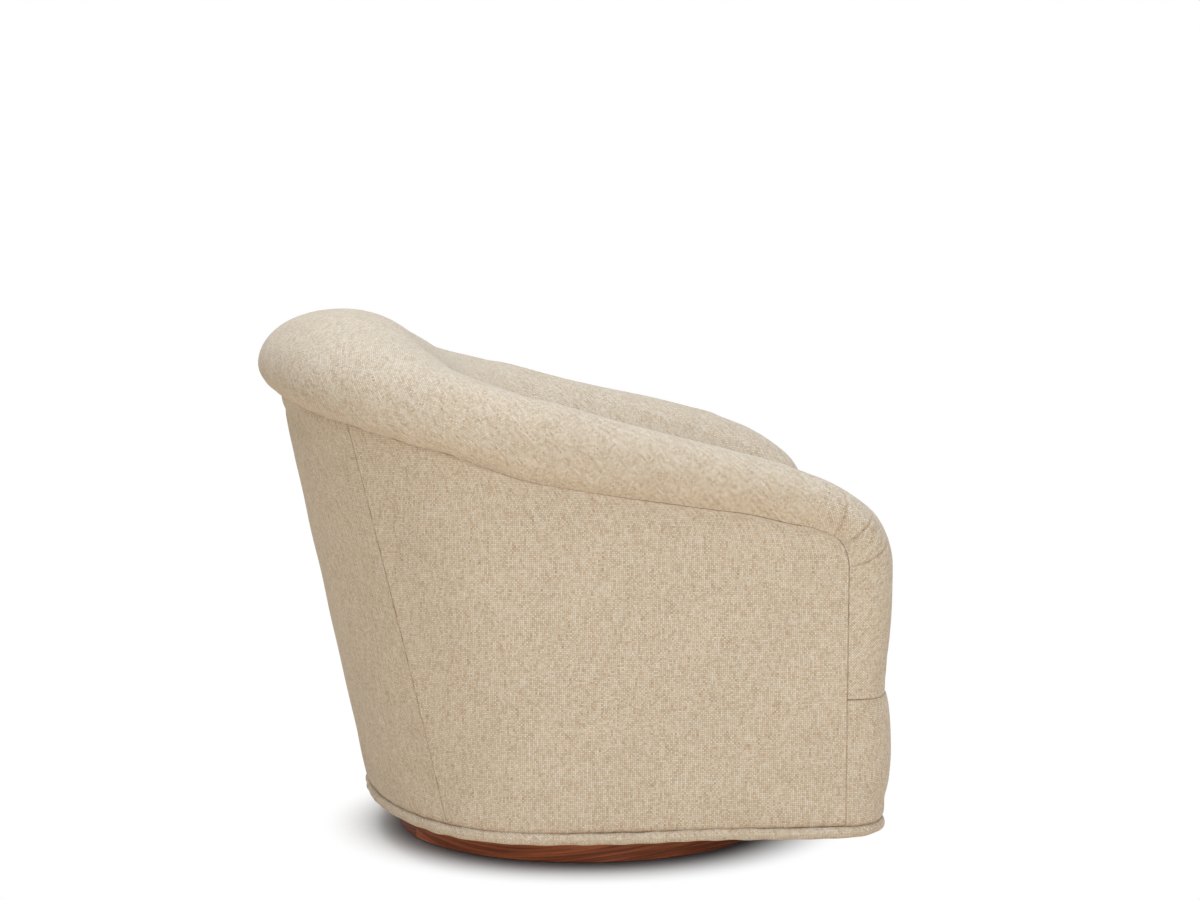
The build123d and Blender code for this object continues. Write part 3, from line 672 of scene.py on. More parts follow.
class GroupDesk(NodeDesk):
    """A desk on a new shader group, with the group's own inputs and outputs."""

    def __init__(self, name: str, taken: tuple[str, ...], given: tuple[str, ...]) -> None:
        """Makes a group that takes a vector and numbers and gives numbers.

        Args:
            name: the group's name.
            taken: names of the numbers it takes.
            given: names of the numbers it gives.
        """
        super().__init__(bpy.data.node_groups.new(name, "ShaderNodeTree"))
        sockets = [("Vector", "INPUT", "NodeSocketVector")]
        sockets += [(key, "INPUT", "NodeSocketFloat") for key in taken]
        sockets += [(key, "OUTPUT", "NodeSocketFloat") for key in given]
        for key, direction, kind in sockets:
            self.tree.interface.new_socket(name=key, in_out=direction, socket_type=kind)
        self.enter = self.tree.nodes.new("NodeGroupInput").outputs
        self.leave = self.tree.nodes.new("NodeGroupOutput").inputs

    def give(self, **values: object) -> bpy.types.NodeTree:
        """Feeds the group's outputs and returns its tree."""
        for key, value in values.items():
            self.feed(self.leave[key], value)
        return self.tree


def srgb(red: int, green: int, blue: int) -> Colour:
    """A colour written as screen values of 0 to 255, for a colour socket."""
    screen = [value / 255 for value in (red, green, blue)]
    return tuple(v / 12.92 if v <= 0.04045 else ((v + 0.055) / 1.055) ** 2.4 for v in screen) + (1.0,)


@dataclass(frozen=True)
class Weave:
    """A plain weave of uneven yarns, as a shader group that counts in yarns."""

    drift: float = 1.2
    drift_scale: float = 0.06
    warp_step: float = 7.31
    weft_step: float = 5.17
    weft_layer: float = 9.0
    warp_slub: float = 0.6
    warp_gain: float = 1.5
    weft_share: float = 0.7
    speck_share: float = 0.33
    cloud_scale: float = 9.0

    def tree(self) -> bpy.types.NodeTree:
        """Builds the group: tone and hue of each crossing, its height, the yarn on top and a cloudy fade."""
        desk = GroupDesk("plain_weave", ("Pitch", "Slub"), ("Tone", "Hue", "Height", "Over", "Cloud"))
        where, slub = desk.enter["Vector"], desk.enter["Slub"]
        yarns = desk.scaled(where, desk.math("DIVIDE", 1.0, desk.enter["Pitch"]))
        drift = desk.add("TexNoise", {"Vector": yarns, "Scale": self.drift_scale, "Detail": 2.0})
        centred = desk.vector("SUBTRACT", drift.outputs["Color"], (0.5, 0.5, 0.5))
        shift = desk.vector("MULTIPLY", centred, (self.drift, self.drift, 0.0))
        u, v, _ = desk.parts(desk.vector("ADD", yarns, shift))
        warp, weft = desk.math("FLOOR", u), desk.math("FLOOR", v)
        over = desk.math("FLOORED_MODULO", desk.math("ADD", warp, weft), 2.0)
        warp_run = desk.math("MULTIPLY", desk.math("MULTIPLY", v, slub), self.warp_slub)
        warp_tone = desk.noise(desk.join(desk.math("MULTIPLY", warp, self.warp_step), warp_run), 1.0)
        warp_tone = desk.math("MULTIPLY_ADD", warp_tone, self.warp_gain, (1.0 - self.warp_gain) / 2)
        weft_run = desk.math("MULTIPLY", u, slub)
        weft_place = desk.join(weft_run, desk.math("MULTIPLY", weft, self.weft_step), self.weft_layer)
        weft_tone = desk.noise(weft_place, 1.0)
        crossing = desk.add("TexWhiteNoise", {"Vector": desk.join(warp, weft)}, noise_dimensions="2D")
        _, hue, speck = desk.parts(crossing.outputs["Color"])
        yarn_tone = desk.blend(desk.math("MULTIPLY", over, self.weft_share), warp_tone, weft_tone)
        round_u, round_v = (desk.math("MULTIPLY", desk.math("FRACT", place), pi) for place in (u, v))
        ridge_u, ridge_v = desk.math("SINE", round_u), desk.math("SINE", round_v)
        warp_high = desk.math("MULTIPLY", ridge_u, desk.math("MULTIPLY_ADD", ridge_v, 0.5, 0.5))
        weft_high = desk.math("MULTIPLY", ridge_v, desk.math("MULTIPLY_ADD", ridge_u, 0.5, 0.5))
        return desk.give(Tone=desk.blend(self.speck_share, yarn_tone, speck), Hue=hue,
                         Height=desk.blend(over, warp_high, weft_high), Over=over,
                         Cloud=desk.noise(where, self.cloud_scale, 3.0))


@dataclass(frozen=True)
class Grain:
    """Wood grain that runs along X, as a shader group with its scales in waves a metre."""

    figure_scale: Place = (1.8, 48.0, 48.0)
    streak_scale: Place = (9.0, 330.0, 330.0)
    pore_scale: Place = (70.0, 1500.0, 1500.0)
    open_pores: Span = (0.60, 0.72)

    def tree(self) -> bpy.types.NodeTree:
        """Builds the group: broad figure, fine streaks and pores."""
        desk = GroupDesk("wood_grain", ("Figure",), ("Figure", "Streak", "Pores"))
        where = desk.enter["Vector"]
        bent = desk.noise(desk.vector("MULTIPLY", where, self.figure_scale), 1.0, 3.0)
        rings = desk.math("MULTIPLY", desk.math("MULTIPLY", bent, desk.enter["Figure"]), 2 * pi)
        pores = desk.noise(desk.vector("MULTIPLY", where, self.pore_scale), 1.0, 1.0)
        return desk.give(Figure=desk.math("MULTIPLY_ADD", desk.math("SINE", rings), 0.5, 0.5),
                         Streak=desk.noise(desk.vector("MULTIPLY", where, self.streak_scale), 1.0, 4.0),
                         Pores=desk.remap(pores, self.open_pores, UNIT))


@dataclass(frozen=True)
class Wear:
    """Uneven handling, as a shader group."""

    scuff_scale: Place = (3.0, 40.0, 11.0)

    def tree(self) -> bpy.types.NodeTree:
        """Builds the group: soft blotches and fine scuffs."""
        desk = GroupDesk("wear", ("Size",), ("Blotch", "Scuff"))
        where = desk.scaled(desk.enter["Vector"], desk.enter["Size"])
        fine = desk.vector("MULTIPLY", where, self.scuff_scale)
        return desk.give(Blotch=desk.noise(where, 1.0, 4.0), Scuff=desk.noise(fine, 1.0, 5.0))


class Groups:
    """The shader groups that several finishes share, each made once."""

    def __init__(self) -> None:
        """Makes the groups."""
        self.weave = Weave().tree()
        self.grain = Grain().tree()
        self.wear = Wear().tree()


def start_material(name: str) -> tuple[bpy.types.Material, NodeDesk, bpy.types.Node]:
    """A new material, a desk on its tree and its principled shader."""
    material = bpy.data.materials.new(name)
    material.use_nodes = True
    shader = material.node_tree.nodes["Principled BSDF"]
    return material, NodeDesk(material.node_tree), shader


@dataclass(frozen=True)
class ClothFinish:
    """A woven cover with heathered yarns, painted shade between the yarns, at the seams and in the crease
    above the welt.
    """

    name: str
    dark: Colour
    middle: Colour
    light: Colour
    # The seam colour and the crease colour are painted shade: in the seams, and in the crease above the welt
    seam: Colour = (0.12, 0.09, 0.06, 1.0)
    painted_crease: Colour = (0.045, 0.030, 0.018, 1.0)
    warm: Colour = (1.02, 0.99, 0.955, 1.0)
    cool: Colour = (0.98, 1.01, 1.045, 1.0)
    tones: tuple[float, float, float] = (0.08, 0.5, 0.92)
    pitch: float = 0.0026
    check: float = 0.08
    slub: float = 0.22
    cloud: Span = (0.98, 1.02)
    # Painted shade between yarns: darker in their gaps, a little lighter on their crowns
    painted_yarn_shade: Span = (0.74, 1.08)
    roughness: float = 0.92
    sheen: float = 0.22
    sheen_roughness: float = 0.5
    gloss: float = 0.2
    bump: float = 0.35
    bump_depth: float = 0.0006
    # How strongly and how unevenly the painted seam shade and painted crease shade show
    seam_shade_strength: float = 0.38
    seam_shade_breaks: float = 110.0
    seam_shade_uneven: Span = (0.45, 1.15)
    crease_shade_strength: float = 0.75

    def material(self, groups: Groups) -> bpy.types.Material:
        """Builds the material."""
        material, desk, shader = start_material(self.name)
        flat = desk.add("UVMap", uv_map=CLOTH_MAP).outputs[0]
        weave = desk.group(groups.weave, {"Vector": flat, "Pitch": self.pitch, "Slub": self.slub})
        colour = desk.ramp(weave["Tone"], list(zip(self.tones, (self.dark, self.middle, self.light))))
        # The third shade is painted yarn shade read from the weave's height
        shades = (desk.ramp(weave["Hue"], [(0.0, self.warm), (1.0, self.cool)]),
                  desk.remap(weave["Cloud"], (0.3, 0.7), self.cloud),
                  desk.remap(weave["Height"], (0.1, 0.9), self.painted_yarn_shade),
                  desk.math("MULTIPLY_ADD", weave["Over"], self.check, 1.0 - self.check / 2))
        for shade in shades:
            colour = desk.tint(1.0, colour, shade, "MULTIPLY")
        # Painted shade from the seam_shade attribute: towards the seam colour at seams, towards the crease
        # colour above the welt
        painted_shade = desk.add("Attribute", attribute_name=SEAM_ATTRIBUTE).outputs["Fac"]
        uneven = desk.remap(desk.noise(flat, self.seam_shade_breaks), (0.35, 0.65), self.seam_shade_uneven)
        sewn = desk.math("MULTIPLY", desk.math("MULTIPLY", painted_shade, uneven), self.seam_shade_strength)
        crease_shadow = desk.remap(painted_shade, (1.0, DEEPEST), (0.0, self.crease_shade_strength))
        colour = desk.tint(crease_shadow, desk.tint(sewn, colour, self.seam), self.painted_crease)
        desk.feed_all(shader, {"Base Color": colour,
                               "Normal": desk.bump(weave["Height"], self.bump, self.bump_depth),
                               "Roughness": self.roughness, "Specular IOR Level": self.gloss,
                               "Sheen Weight": self.sheen, "Sheen Roughness": self.sheen_roughness})
        return material


@dataclass(frozen=True)
class TimberFinish:
    """Sawn or oiled timber whose grain runs along X."""

    name: str
    dark: Colour
    light: Colour
    pore: Colour
    figure: float = 3.0
    fineness: float = 0.45
    roughness: Span = (0.48, 0.63)
    board_light: Span = (0.55, 1.30)
    pore_share: float = 0.55
    bump: float = 0.12
    bump_depth: float = 0.0004

    def material(self, groups: Groups) -> bpy.types.Material:
        """Builds the material for boards and rails."""
        material, desk, shader = start_material(self.name)
        self.paint(desk, shader, groups, desk.object_place(), 0.5)
        return material

    def paint(self, desk: NodeDesk, shader: bpy.types.Node, groups: Groups, where: object,
              tone: object) -> None:
        """Colours the shader with grain at a place.

        Args:
            desk: the material's desk.
            shader: the principled shader.
            groups: the shared groups.
            where: grain coordinates, with the grain along X.
            tone: lightness of this board, from 0 to 1.
        """
        grain = desk.group(groups.grain, {"Vector": where, "Figure": self.figure})
        mixed = desk.blend(self.fineness, grain["Figure"], grain["Streak"])
        colour = desk.ramp(mixed, [(0.30, self.dark), (0.70, self.light)])
        colour = desk.tint(1.0, colour, desk.remap(tone, UNIT, self.board_light), "MULTIPLY")
        colour = desk.tint(desk.math("MULTIPLY", grain["Pores"], self.pore_share), colour, self.pore)
        height = desk.math("SUBTRACT", grain["Streak"], grain["Pores"])
        desk.feed_all(shader, {"Base Color": colour,
                               "Roughness": desk.remap(grain["Streak"], (0.3, 0.7), self.roughness),
                               "Normal": desk.bump(height, self.bump, self.bump_depth)})


@dataclass(frozen=True)
class BentRingFinish:
    """Oiled timber bent round a ring in halves, so that its grain runs on round each half."""

    timber: TimberFinish
    halves: int = 2
    first_joint: float = 111.0
    radius: float = 0.26
    sway: float = 0.012
    sway_turns: float = 2.6
    half_step: float = 3.7
    dark_half: float = 1.0
    dark_tone: float = 0.1
    light_tone: float = 0.6
    gloss: float = 0.22

    def material(self, groups: Groups) -> bpy.types.Material:
        """Builds the material."""
        material, desk, shader = start_material(self.timber.name)
        x, y, z = desk.parts(desk.object_place())
        angle = desk.math("SUBTRACT", desk.math("ARCTAN2", y, x), np.radians(self.first_joint))
        angle = desk.math("FLOORED_MODULO", angle, 2 * pi)
        number = desk.math("FLOOR", desk.math("DIVIDE", angle, 2 * pi / self.halves))
        out = desk.math("SQRT", desk.math("ADD", desk.math("MULTIPLY", x, x), desk.math("MULTIPLY", y, y)))
        wave = desk.math("SINE", desk.math("MULTIPLY", angle, self.sway_turns))
        height = desk.math("MULTIPLY_ADD", number, self.half_step, z)
        height = desk.math("ADD", height, desk.math("MULTIPLY", wave, self.sway))
        around = desk.join(desk.math("MULTIPLY", angle, self.radius), out, height)
        dark = desk.math("COMPARE", number, self.dark_half, 0.4)
        tone = desk.blend(dark, self.light_tone, self.dark_tone)
        self.timber.paint(desk, shader, groups, around, tone)
        desk.feed(shader.inputs["Specular IOR Level"], self.gloss)
        return material


@dataclass(frozen=True)
class MetalFinish:
    """Plated or drawn metal with faint handling marks."""

    name: str
    colour: Colour
    worn: Colour
    roughness: Span = (0.25, 0.47)
    size: float = 60.0
    bump: float = 0.08
    bump_depth: float = 0.0002

    def material(self, groups: Groups) -> bpy.types.Material:
        """Builds the material."""
        material, desk, shader = start_material(self.name)
        wear = desk.group(groups.wear, {"Vector": desk.object_place(), "Size": self.size})
        desk.feed_all(shader, {"Base Color": desk.tint(wear["Blotch"], self.colour, self.worn),
                               "Roughness": desk.remap(wear["Scuff"], (0.3, 0.7), self.roughness),
                               "Normal": desk.bump(wear["Scuff"], self.bump, self.bump_depth),
                               "Metallic": 1.0})
        return material


@dataclass(frozen=True)
class FeltFinish:
    """Pressed or spun fibres with no weave."""

    name: str
    dark: Colour
    light: Colour
    size: float = 500.0
    roughness: float = 0.95
    bump: float = 0.4
    bump_depth: float = 0.0004

    def material(self, groups: Groups) -> bpy.types.Material:
        """Builds the material."""
        material, desk, shader = start_material(self.name)
        wear = desk.group(groups.wear, {"Vector": desk.object_place(), "Size": self.size})
        fibre = desk.blend(0.5, wear["Blotch"], wear["Scuff"])
        desk.feed_all(shader, {"Base Color": desk.ramp(fibre, [(0.35, self.dark), (0.65, self.light)]),
                               "Normal": desk.bump(fibre, self.bump, self.bump_depth),
                               "Roughness": self.roughness})
        return material


class Wardrobe:
    """Every finish of the chair, by the record's slot names."""

    def __init__(self, groups: Groups) -> None:
        """Makes the materials."""
        walnut = TimberFinish("oiled_walnut", srgb(132, 70, 44), srgb(236, 142, 96), srgb(74, 38, 26),
                              figure=1.6, fineness=0.70, roughness=(0.43, 0.58))
        finishes = {
            # The linen's seam colour is painted shade for its seams
            LINEN_SLOT: ClothFinish("oatmeal_linen", srgb(171, 147, 121), srgb(204, 191, 171),
                                    srgb(223, 216, 204), seam=srgb(150, 98, 60)),
            DECK_SLOT: ClothFinish("deck_cloth", srgb(150, 138, 120), srgb(176, 165, 147),
                                   srgb(196, 187, 172), pitch=0.0012, bump=0.2),
            "walnut": BentRingFinish(walnut),
            "plywood": TimberFinish("birch_plywood", srgb(186, 152, 108), srgb(214, 186, 144),
                                    srgb(140, 104, 70), figure=2.0),
            "frame_timber": TimberFinish("beech_timber", srgb(176, 132, 92), srgb(208, 170, 128),
                                         srgb(128, 88, 58), figure=2.4),
            "zinc_steel": MetalFinish("zinc_plate", srgb(176, 180, 184), srgb(146, 150, 152)),
            "bright_steel": MetalFinish("bright_steel", srgb(206, 208, 210), srgb(180, 182, 184),
                                        (0.08, 0.30)),
            "spring_wire": MetalFinish("spring_wire", srgb(92, 90, 86), srgb(64, 62, 60), (0.32, 0.54)),
            "felt": FeltFinish("grey_felt", srgb(70, 66, 62), srgb(104, 99, 93)),
            DUST_SLOT: FeltFinish("dust_cloth", srgb(20, 20, 21), srgb(42, 42, 44), 900.0),
        }
        self.by_slot = {slot: finish.material(groups) for slot, finish in finishes.items()}

    def dress(self, piece: bpy.types.Object, slot: str) -> None:
        """Gives a new piece a slot's finish."""
        piece.data.materials.append(self.by_slot[slot])

    def dress_frame(self, record: dict, nodes: dict) -> None:
        """Gives every carried-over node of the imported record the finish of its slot."""
        for entry in record["subparts"]:
            mesh = nodes[entry["node"]].data
            mesh.materials.clear()
            mesh.materials.append(self.by_slot[entry["material_slot"]])


# Sub-assemblies


@dataclass
class Upholstery:
    """What every sewn cover shares: the tub it lies on, its finish and its seams, in metres."""

    tub: TubForm
    wardrobe: Wardrobe
    seam_radius: float = 0.0012
    # Width of the painted seam shade
    seam_line: float = 0.0009
    welt_tuck: float = 0.012
    welt_share: float = 0.6
    # Width of the painted shade in the crease above the welt
    painted_crease: float = 0.0045
    coarse: float = 0.007
    fine: float = 0.0006
    trial_step: float = 0.009
    edge_depth: float = 0.004
    edge_fold: float = 0.002

    def seam_shade(self, *distances: np.ndarray) -> np.ndarray:
        """Painted shade at each point, from its distances to the seams: 1 on a seam."""
        nearest = np.minimum.reduce(distances)
        return np.exp(-((nearest / self.seam_line) ** 2))

    def welt_shade(self, distance: np.ndarray) -> np.ndarray:
        """Painted shade of each point in the crease above the welt."""
        return DEEPEST * np.exp(-((distance / self.painted_crease) ** 2))

    def trial_shares(self, length: float) -> np.ndarray:
        """Even places from 0 to 1 for the grid that is simulated."""
        return np.linspace(0, 1, int(length / self.trial_step))

    def backing(self, points: np.ndarray, shown: np.ndarray, normal: np.ndarray, depth: float,
                run: float) -> np.ndarray:
        """The hidden face of a cover: a depth behind it, reached in a run from its folded border."""
        border = np.minimum.reduce(edge_distances(points))
        hidden = points - normal * (depth * ease((border + self.edge_depth) / run))[..., None]
        return np.where((border < TINY)[..., None], shown - normal * self.edge_fold, hidden)

    def finish(self, piece: bpy.types.Object, nodes: list[str], fill: float, body: str = CHAIR,
               slot: str = LINEN_SLOT) -> None:
        """Dresses a padded piece, hangs it on its body and hides the nodes it takes the place of."""
        self.wardrobe.dress(piece, slot)
        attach(piece, body)
        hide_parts(*nodes)
        log.info("%s: %d points", piece.name, len(piece.data.vertices))


@dataclass
class TopRoll(Upholstery):
    """The padded roll over both arms and round the back, with its turned-down fronts."""

    post: RollSection = RollSection(0.005, 0.026, 0.058, 0.066, 0.008)
    corner: RollSection = RollSection(0.009, 0.027, 0.046, 0.055, 0.006)
    arm_front: RollSection = RollSection(0.013, 0.028, 0.038, 0.064, 0.006)
    arm_rear: RollSection = RollSection(0.028, 0.038, 0.027, 0.105, 0.012)
    back: RollSection = RollSection(0.030, 0.050, 0.081, 0.126, 0.012)
    keep_off: Span = (-8.0, 18.0)
    foot_gap: float = 0.0005
    foot_pull: float = 0.008
    foot_rise: float = 0.130
    foot_overhang: float = 0.3
    left_slack: float = 0.009
    slack_on: Span = (-0.16, 0.18)
    slack_off: Span = (0.20, 0.14)
    post_stations: int = 44
    corner_stations: int = 40
    arm_stations: int = 84
    back_stations: int = 96
    smoothing: int = 11
    outline_points: int = 40
    chord_bow: float = 0.003
    way_samples: int = 6000
    wide_step: float = 0.0062
    corner_step: float = 0.0015
    corner_on: Span = (-6.0, 12.0)
    corner_off: Span = (94.0, 10.0)
    edge_step: float = 0.0006
    edge_growth: float = 0.35
    edge_lines: tuple[float, ...] = (0.0, 0.0003, 0.0007, 0.0013, 0.0023, 0.0040, 0.0068, 0.0105)
    columns: int = 64
    trial_rows: int = 300
    trial_columns: int = 44
    bias: float = pi / 4
    seam_tucks: tuple[float, ...] = (0.6, 0.6, 0.25)
    pucker: float = 0.0006
    pucker_start: float = 0.003
    pucker_reach: float = 0.014
    pucker_wave: float = 0.021
    pucker_back: float = 1.4
    inner_pucker: float = 1.6
    inner_reach: float = 0.016
    inner_wave: float = 0.030
    pucker_stretch: float = 0.3
    uneven: float = 0.0007
    uneven_wave: float = 0.16
    back_on: Span = (0.10, 0.12)
    post_on: Span = (50.0, 40.0)
    # Strength of the painted seam shade along the arm, round the back, at the post and at the feet, with
    # dots of painted stitch shade at the back
    seam_arm: float = 1.2
    seam_back: float = 0.7
    seam_post_less: float = 0.55
    seam_foot: float = 0.3
    seam_foot_run: float = 0.004
    seam_most: float = 2.0
    stitch_shade: float = 0.9
    stitch_shade_wave: float = 0.012
    darts: tuple[Dart, ...] = (Dart(45.6, 27.6, 0.093, 0.0028), Dart(61.7, 52.9, 0.087, 0.0026),
                               Dart(88.4, 69.2, 0.099, 0.0024))
    dart_spread: float = 0.6
    dart_start: float = 0.15
    dart_off: Span = (0.40, 0.50)
    dart_width: float = 0.0015
    fold_share: float = 0.40
    fold_place: float = 0.0050
    fold_width: float = 0.0045
    # Painted shade along each dart's fold: where it fades, its width and its strength
    dart_shade_off: Span = (0.70, 0.30)
    dart_shade_width: float = 0.0008
    dart_shade: float = 1.3
    stuffing: Stuffing = Stuffing(fill=0.85, pressure=2.0, fullness=0.008, limit=0.0018)

    def right_half(self) -> dict[str, np.ndarray]:
        """Stations of the roll from the foot of the right post to the middle of the back."""
        tub = self.tub
        foot = np.linspace(tub.deck_top + self.foot_gap, tub.corner_z, self.post_stations, endpoint=False)
        turn = np.linspace(90.0, 0.0, self.corner_stations, endpoint=False)
        y = np.linspace(tub.corner_y, tub.outside.curve_start, self.arm_stations, endpoint=False)
        sweep = np.linspace(0.0, pi / 2, self.back_stations)
        start, outward, rising = self.right_frames(foot, turn, y, sweep)
        angle = np.concatenate([90.0 + np.degrees((tub.corner_z - foot) / tub.seam_corner), turn,
                                tub.turn_at(y), np.full(len(sweep), FAR_BEHIND)])
        level = np.concatenate([np.zeros(len(foot) + len(turn)), np.ones(len(y) + len(sweep))])
        keys = np.concatenate([np.tile(astuple(self.post), (len(foot), 1)),
                               self.mix(1 - turn / 90.0, self.post, self.corner, self.arm_front),
                               self.mix(np.arange(len(y)) / len(y), self.arm_front, self.arm_rear),
                               self.mix(np.sin(sweep) ** 2, self.arm_rear, self.back)])
        kept = tub.drop(angle) * (1.0 - rise(angle, self.keep_off)) - tub.lift(start[:, 1])
        keys[:, [1, 3, 4]] += kept[:, None]
        above_foot = rise(start[:, 2], (tub.deck_top, self.foot_rise))
        pull = self.foot_pull * (1.0 - above_foot)
        keys[:, 3] -= pull
        keys[:, 1] -= pull / 2
        keys[:, 0] *= self.foot_overhang + (1.0 - self.foot_overhang) * above_foot
        return {"start": start, "outward": outward, "rising": rising, "keys": keys, "angle": angle,
                "level": level}

    def right_frames(self, foot: np.ndarray, turn: np.ndarray, y: np.ndarray,
                     sweep: np.ndarray) -> tuple[np.ndarray, np.ndarray, np.ndarray]:
        """Places of the right half's stations on the outside seam, and their directions.

        Args:
            foot: heights up the post.
            turn: degrees round the front corner.
            y: places along the arm.
            sweep: angles round the back.

        Returns:
            The places, the directions out of the chair and the directions up the roll, one row a station.
        """
        tub, wall = self.tub, self.tub.outside
        radians = np.radians(turn)
        radius = tub.seam_corner - tub.drop(turn)
        straight_y = np.concatenate([np.full_like(foot, -tub.seam_front),
                                     tub.corner_y - radius * np.sin(radians), y])
        straight_z = np.concatenate([foot, tub.corner_z + radius * np.cos(radians), tub.seam_height(y)])
        straight = np.stack([-wall.size(straight_z)[0], straight_y, straight_z], 1)
        ways = wall.curve_start + wall.turn * sweep
        edge = tub.top_edge(wall, ways[0], ways[-1])
        back_z = np.interp(ways, edge[:, 0], edge[:, 1])
        start = np.concatenate([straight, wall.place(ways, back_z)])
        half, depth = wall.size(back_z)
        lean = np.stack([-np.cos(sweep) / half, np.sin(sweep) / depth, np.zeros_like(sweep)], 1)
        lean /= np.linalg.norm(lean, axis=1, keepdims=True)
        outward = np.concatenate([np.tile([-1.0, 0.0, 0.0], (len(straight), 1)), lean])
        rising = np.tile([0.0, 0.0, 1.0], (len(start), 1))
        rising[: len(foot)] = (0.0, -1.0, 0.0)
        bend = slice(len(foot), len(foot) + len(turn))
        rising[bend, 1] = -np.sin(radians)
        rising[bend, 2] = np.cos(radians)
        return start, outward, rising

    def mix(self, share: np.ndarray, *sections: RollSection) -> np.ndarray:
        """Sections part of the way through evenly spaced ones, one row each."""
        places = np.linspace(0.0, 1.0, len(sections))
        columns = zip(*(astuple(section) for section in sections))
        return np.stack([np.interp(share, places, column) for column in columns], 1)

    def stations(self) -> dict[str, np.ndarray]:
        """Stations of the whole roll, from the right post round to the left one, with the way along it."""
        right = self.right_half()
        whole = {key: np.concatenate([value, value[-2::-1]]) for key, value in right.items()}
        count = len(right["start"])
        for key in ("start", "outward"):
            whole[key][count:] *= MIRROR
        y = whole["start"][count:, 1]
        slack = rise(y, self.slack_on) * (1.0 - rise(y, self.slack_off))
        whole["keys"][count:, 3] -= self.left_slack * slack
        kernel = np.hanning(self.smoothing + 2)[1:-1]
        kernel /= kernel.sum()
        pad = self.smoothing // 2
        padded = np.pad(whole["keys"], ((pad, pad), (0, 0)), mode="edge")
        whole["keys"] = np.stack([np.convolve(column, kernel, mode="valid") for column in padded.T], 1)
        middle = whole["start"] + whole["rising"] * whole["keys"][:, 3:4] / 2
        steps = np.linalg.norm(np.diff(middle, axis=0), axis=1)
        whole["way"] = np.concatenate([[0.0], np.cumsum(steps)])
        whole["inner"] = -self.well_reach(whole["start"], -whole["outward"])
        return whole

    def well_reach(self, start: np.ndarray, inward: np.ndarray) -> np.ndarray:
        """Distance from points on the outside seam to the sitting well's wall, along level directions."""
        well = self.tub.well
        half, depth = well.size(start[:, 2])
        straight = np.abs(start[:, 0]) - half
        offset = np.stack([start[:, 0] / half, (start[:, 1] - well.curve_start) / depth], 1)
        step = np.stack([inward[:, 0] / half, inward[:, 1] / depth], 1)
        a = (step**2).sum(1)
        b = (offset * step).sum(1)
        c = (offset**2).sum(1) - 1
        curved = (-b - np.sqrt(np.maximum(b**2 - a * c, 0.0))) / a
        return np.where(start[:, 1] <= well.curve_start, straight, curved)

    def sections(self, at: dict[str, np.ndarray]) -> tuple[np.ndarray, np.ndarray]:
        """Fine outlines of the roll's cuts, from the outside seam over the top to the inside seam.

        Args:
            at: stations.

        Returns:
            Distance outward and height of each outline point, one row a station.
        """
        overhang, over_rise, inset, apex, inner_rise = at["keys"].T[:, :, None]
        inner = at["inner"]
        radius = (overhang**2 + over_rise**2) / (2 * overhang)
        share = np.linspace(0.0, 1.0, self.outline_points)[None]
        angle = np.arctan2(-over_rise, radius - overhang) * (1 - share)
        quarter = share * pi / 2
        height = at["start"][:, 2:3]
        landing = at["start"][:, 1:2] + at["outward"][:, 1:2] * inner
        drop = np.where(at["level"] > 0.5, self.tub.seam_height(landing) - height, 0.0)
        well = self.tub.well
        lean = (well.size(height)[1] - well.size(height + drop)[1]) * np.abs(at["outward"][:, 1:2])
        u = [overhang - radius + radius * np.cos(angle), -inset + (overhang + inset) * np.cos(quarter),
             -inset - (-inset - inner) * np.sin(quarter), inner - lean * share]
        v = [over_rise + radius * np.sin(angle), over_rise + (apex - over_rise) * np.sin(quarter),
             inner_rise + (apex - inner_rise) * np.cos(quarter), inner_rise + (drop - inner_rise) * share]
        return np.concatenate(u, 1), np.concatenate(v, 1)

    def surface(self, rows: np.ndarray, columns: np.ndarray, edge: np.ndarray) -> dict[str, np.ndarray]:
        """The roll's face on a grid.

        Args:
            rows: ways along the roll, in metres.
            columns: shares of the face between its two edge strips.
            edge: distances from either seam that get grid lines of their own, rising.

        Returns:
            The grid's points, its distances from the outside seam, the width of each row, the hidden
            chord behind it and the corner angle of each row.
        """
        raw = self.stations()
        at = {key: np.stack([np.interp(rows, raw["way"], c) for c in np.atleast_2d(value.T)], 1)
              for key, value in raw.items()}
        u, v = self.sections(at)
        width = np.zeros(u.shape)
        width[:, 1:] = np.cumsum(np.hypot(np.diff(u, axis=1), np.diff(v, axis=1)), axis=1)
        total = width[:, -1]
        spot = np.concatenate([np.tile(edge[:-1], (len(rows), 1)),
                               edge[-1] + columns[None] * (total[:, None] - 2 * edge[-1]),
                               total[:, None] - edge[:-1][::-1]], 1)
        face = [np.stack([np.interp(s, w, x) for s, w, x in zip(spot, width, line)]) for line in (u, v)]
        share = spot / total[:, None]
        chord = [line[:, :1] + (line[:, -1:] - line[:, :1]) * share for line in (u, v)]
        chord[1] = chord[1] + self.chord_bow * np.sin(share * pi)
        return {"points": self.spread(at, *face), "run": spot, "total": total,
                "chord": self.spread(at, *chord), "angle": at["angle"][:, 0]}

    def spread(self, at: dict[str, np.ndarray], out: np.ndarray, up: np.ndarray) -> np.ndarray:
        """Points at distances outward and up from their stations, one row a station."""
        start, outward, rising = (at[key][:, None] for key in ("start", "outward", "rising"))
        return start + out[..., None] * outward + up[..., None] * rising

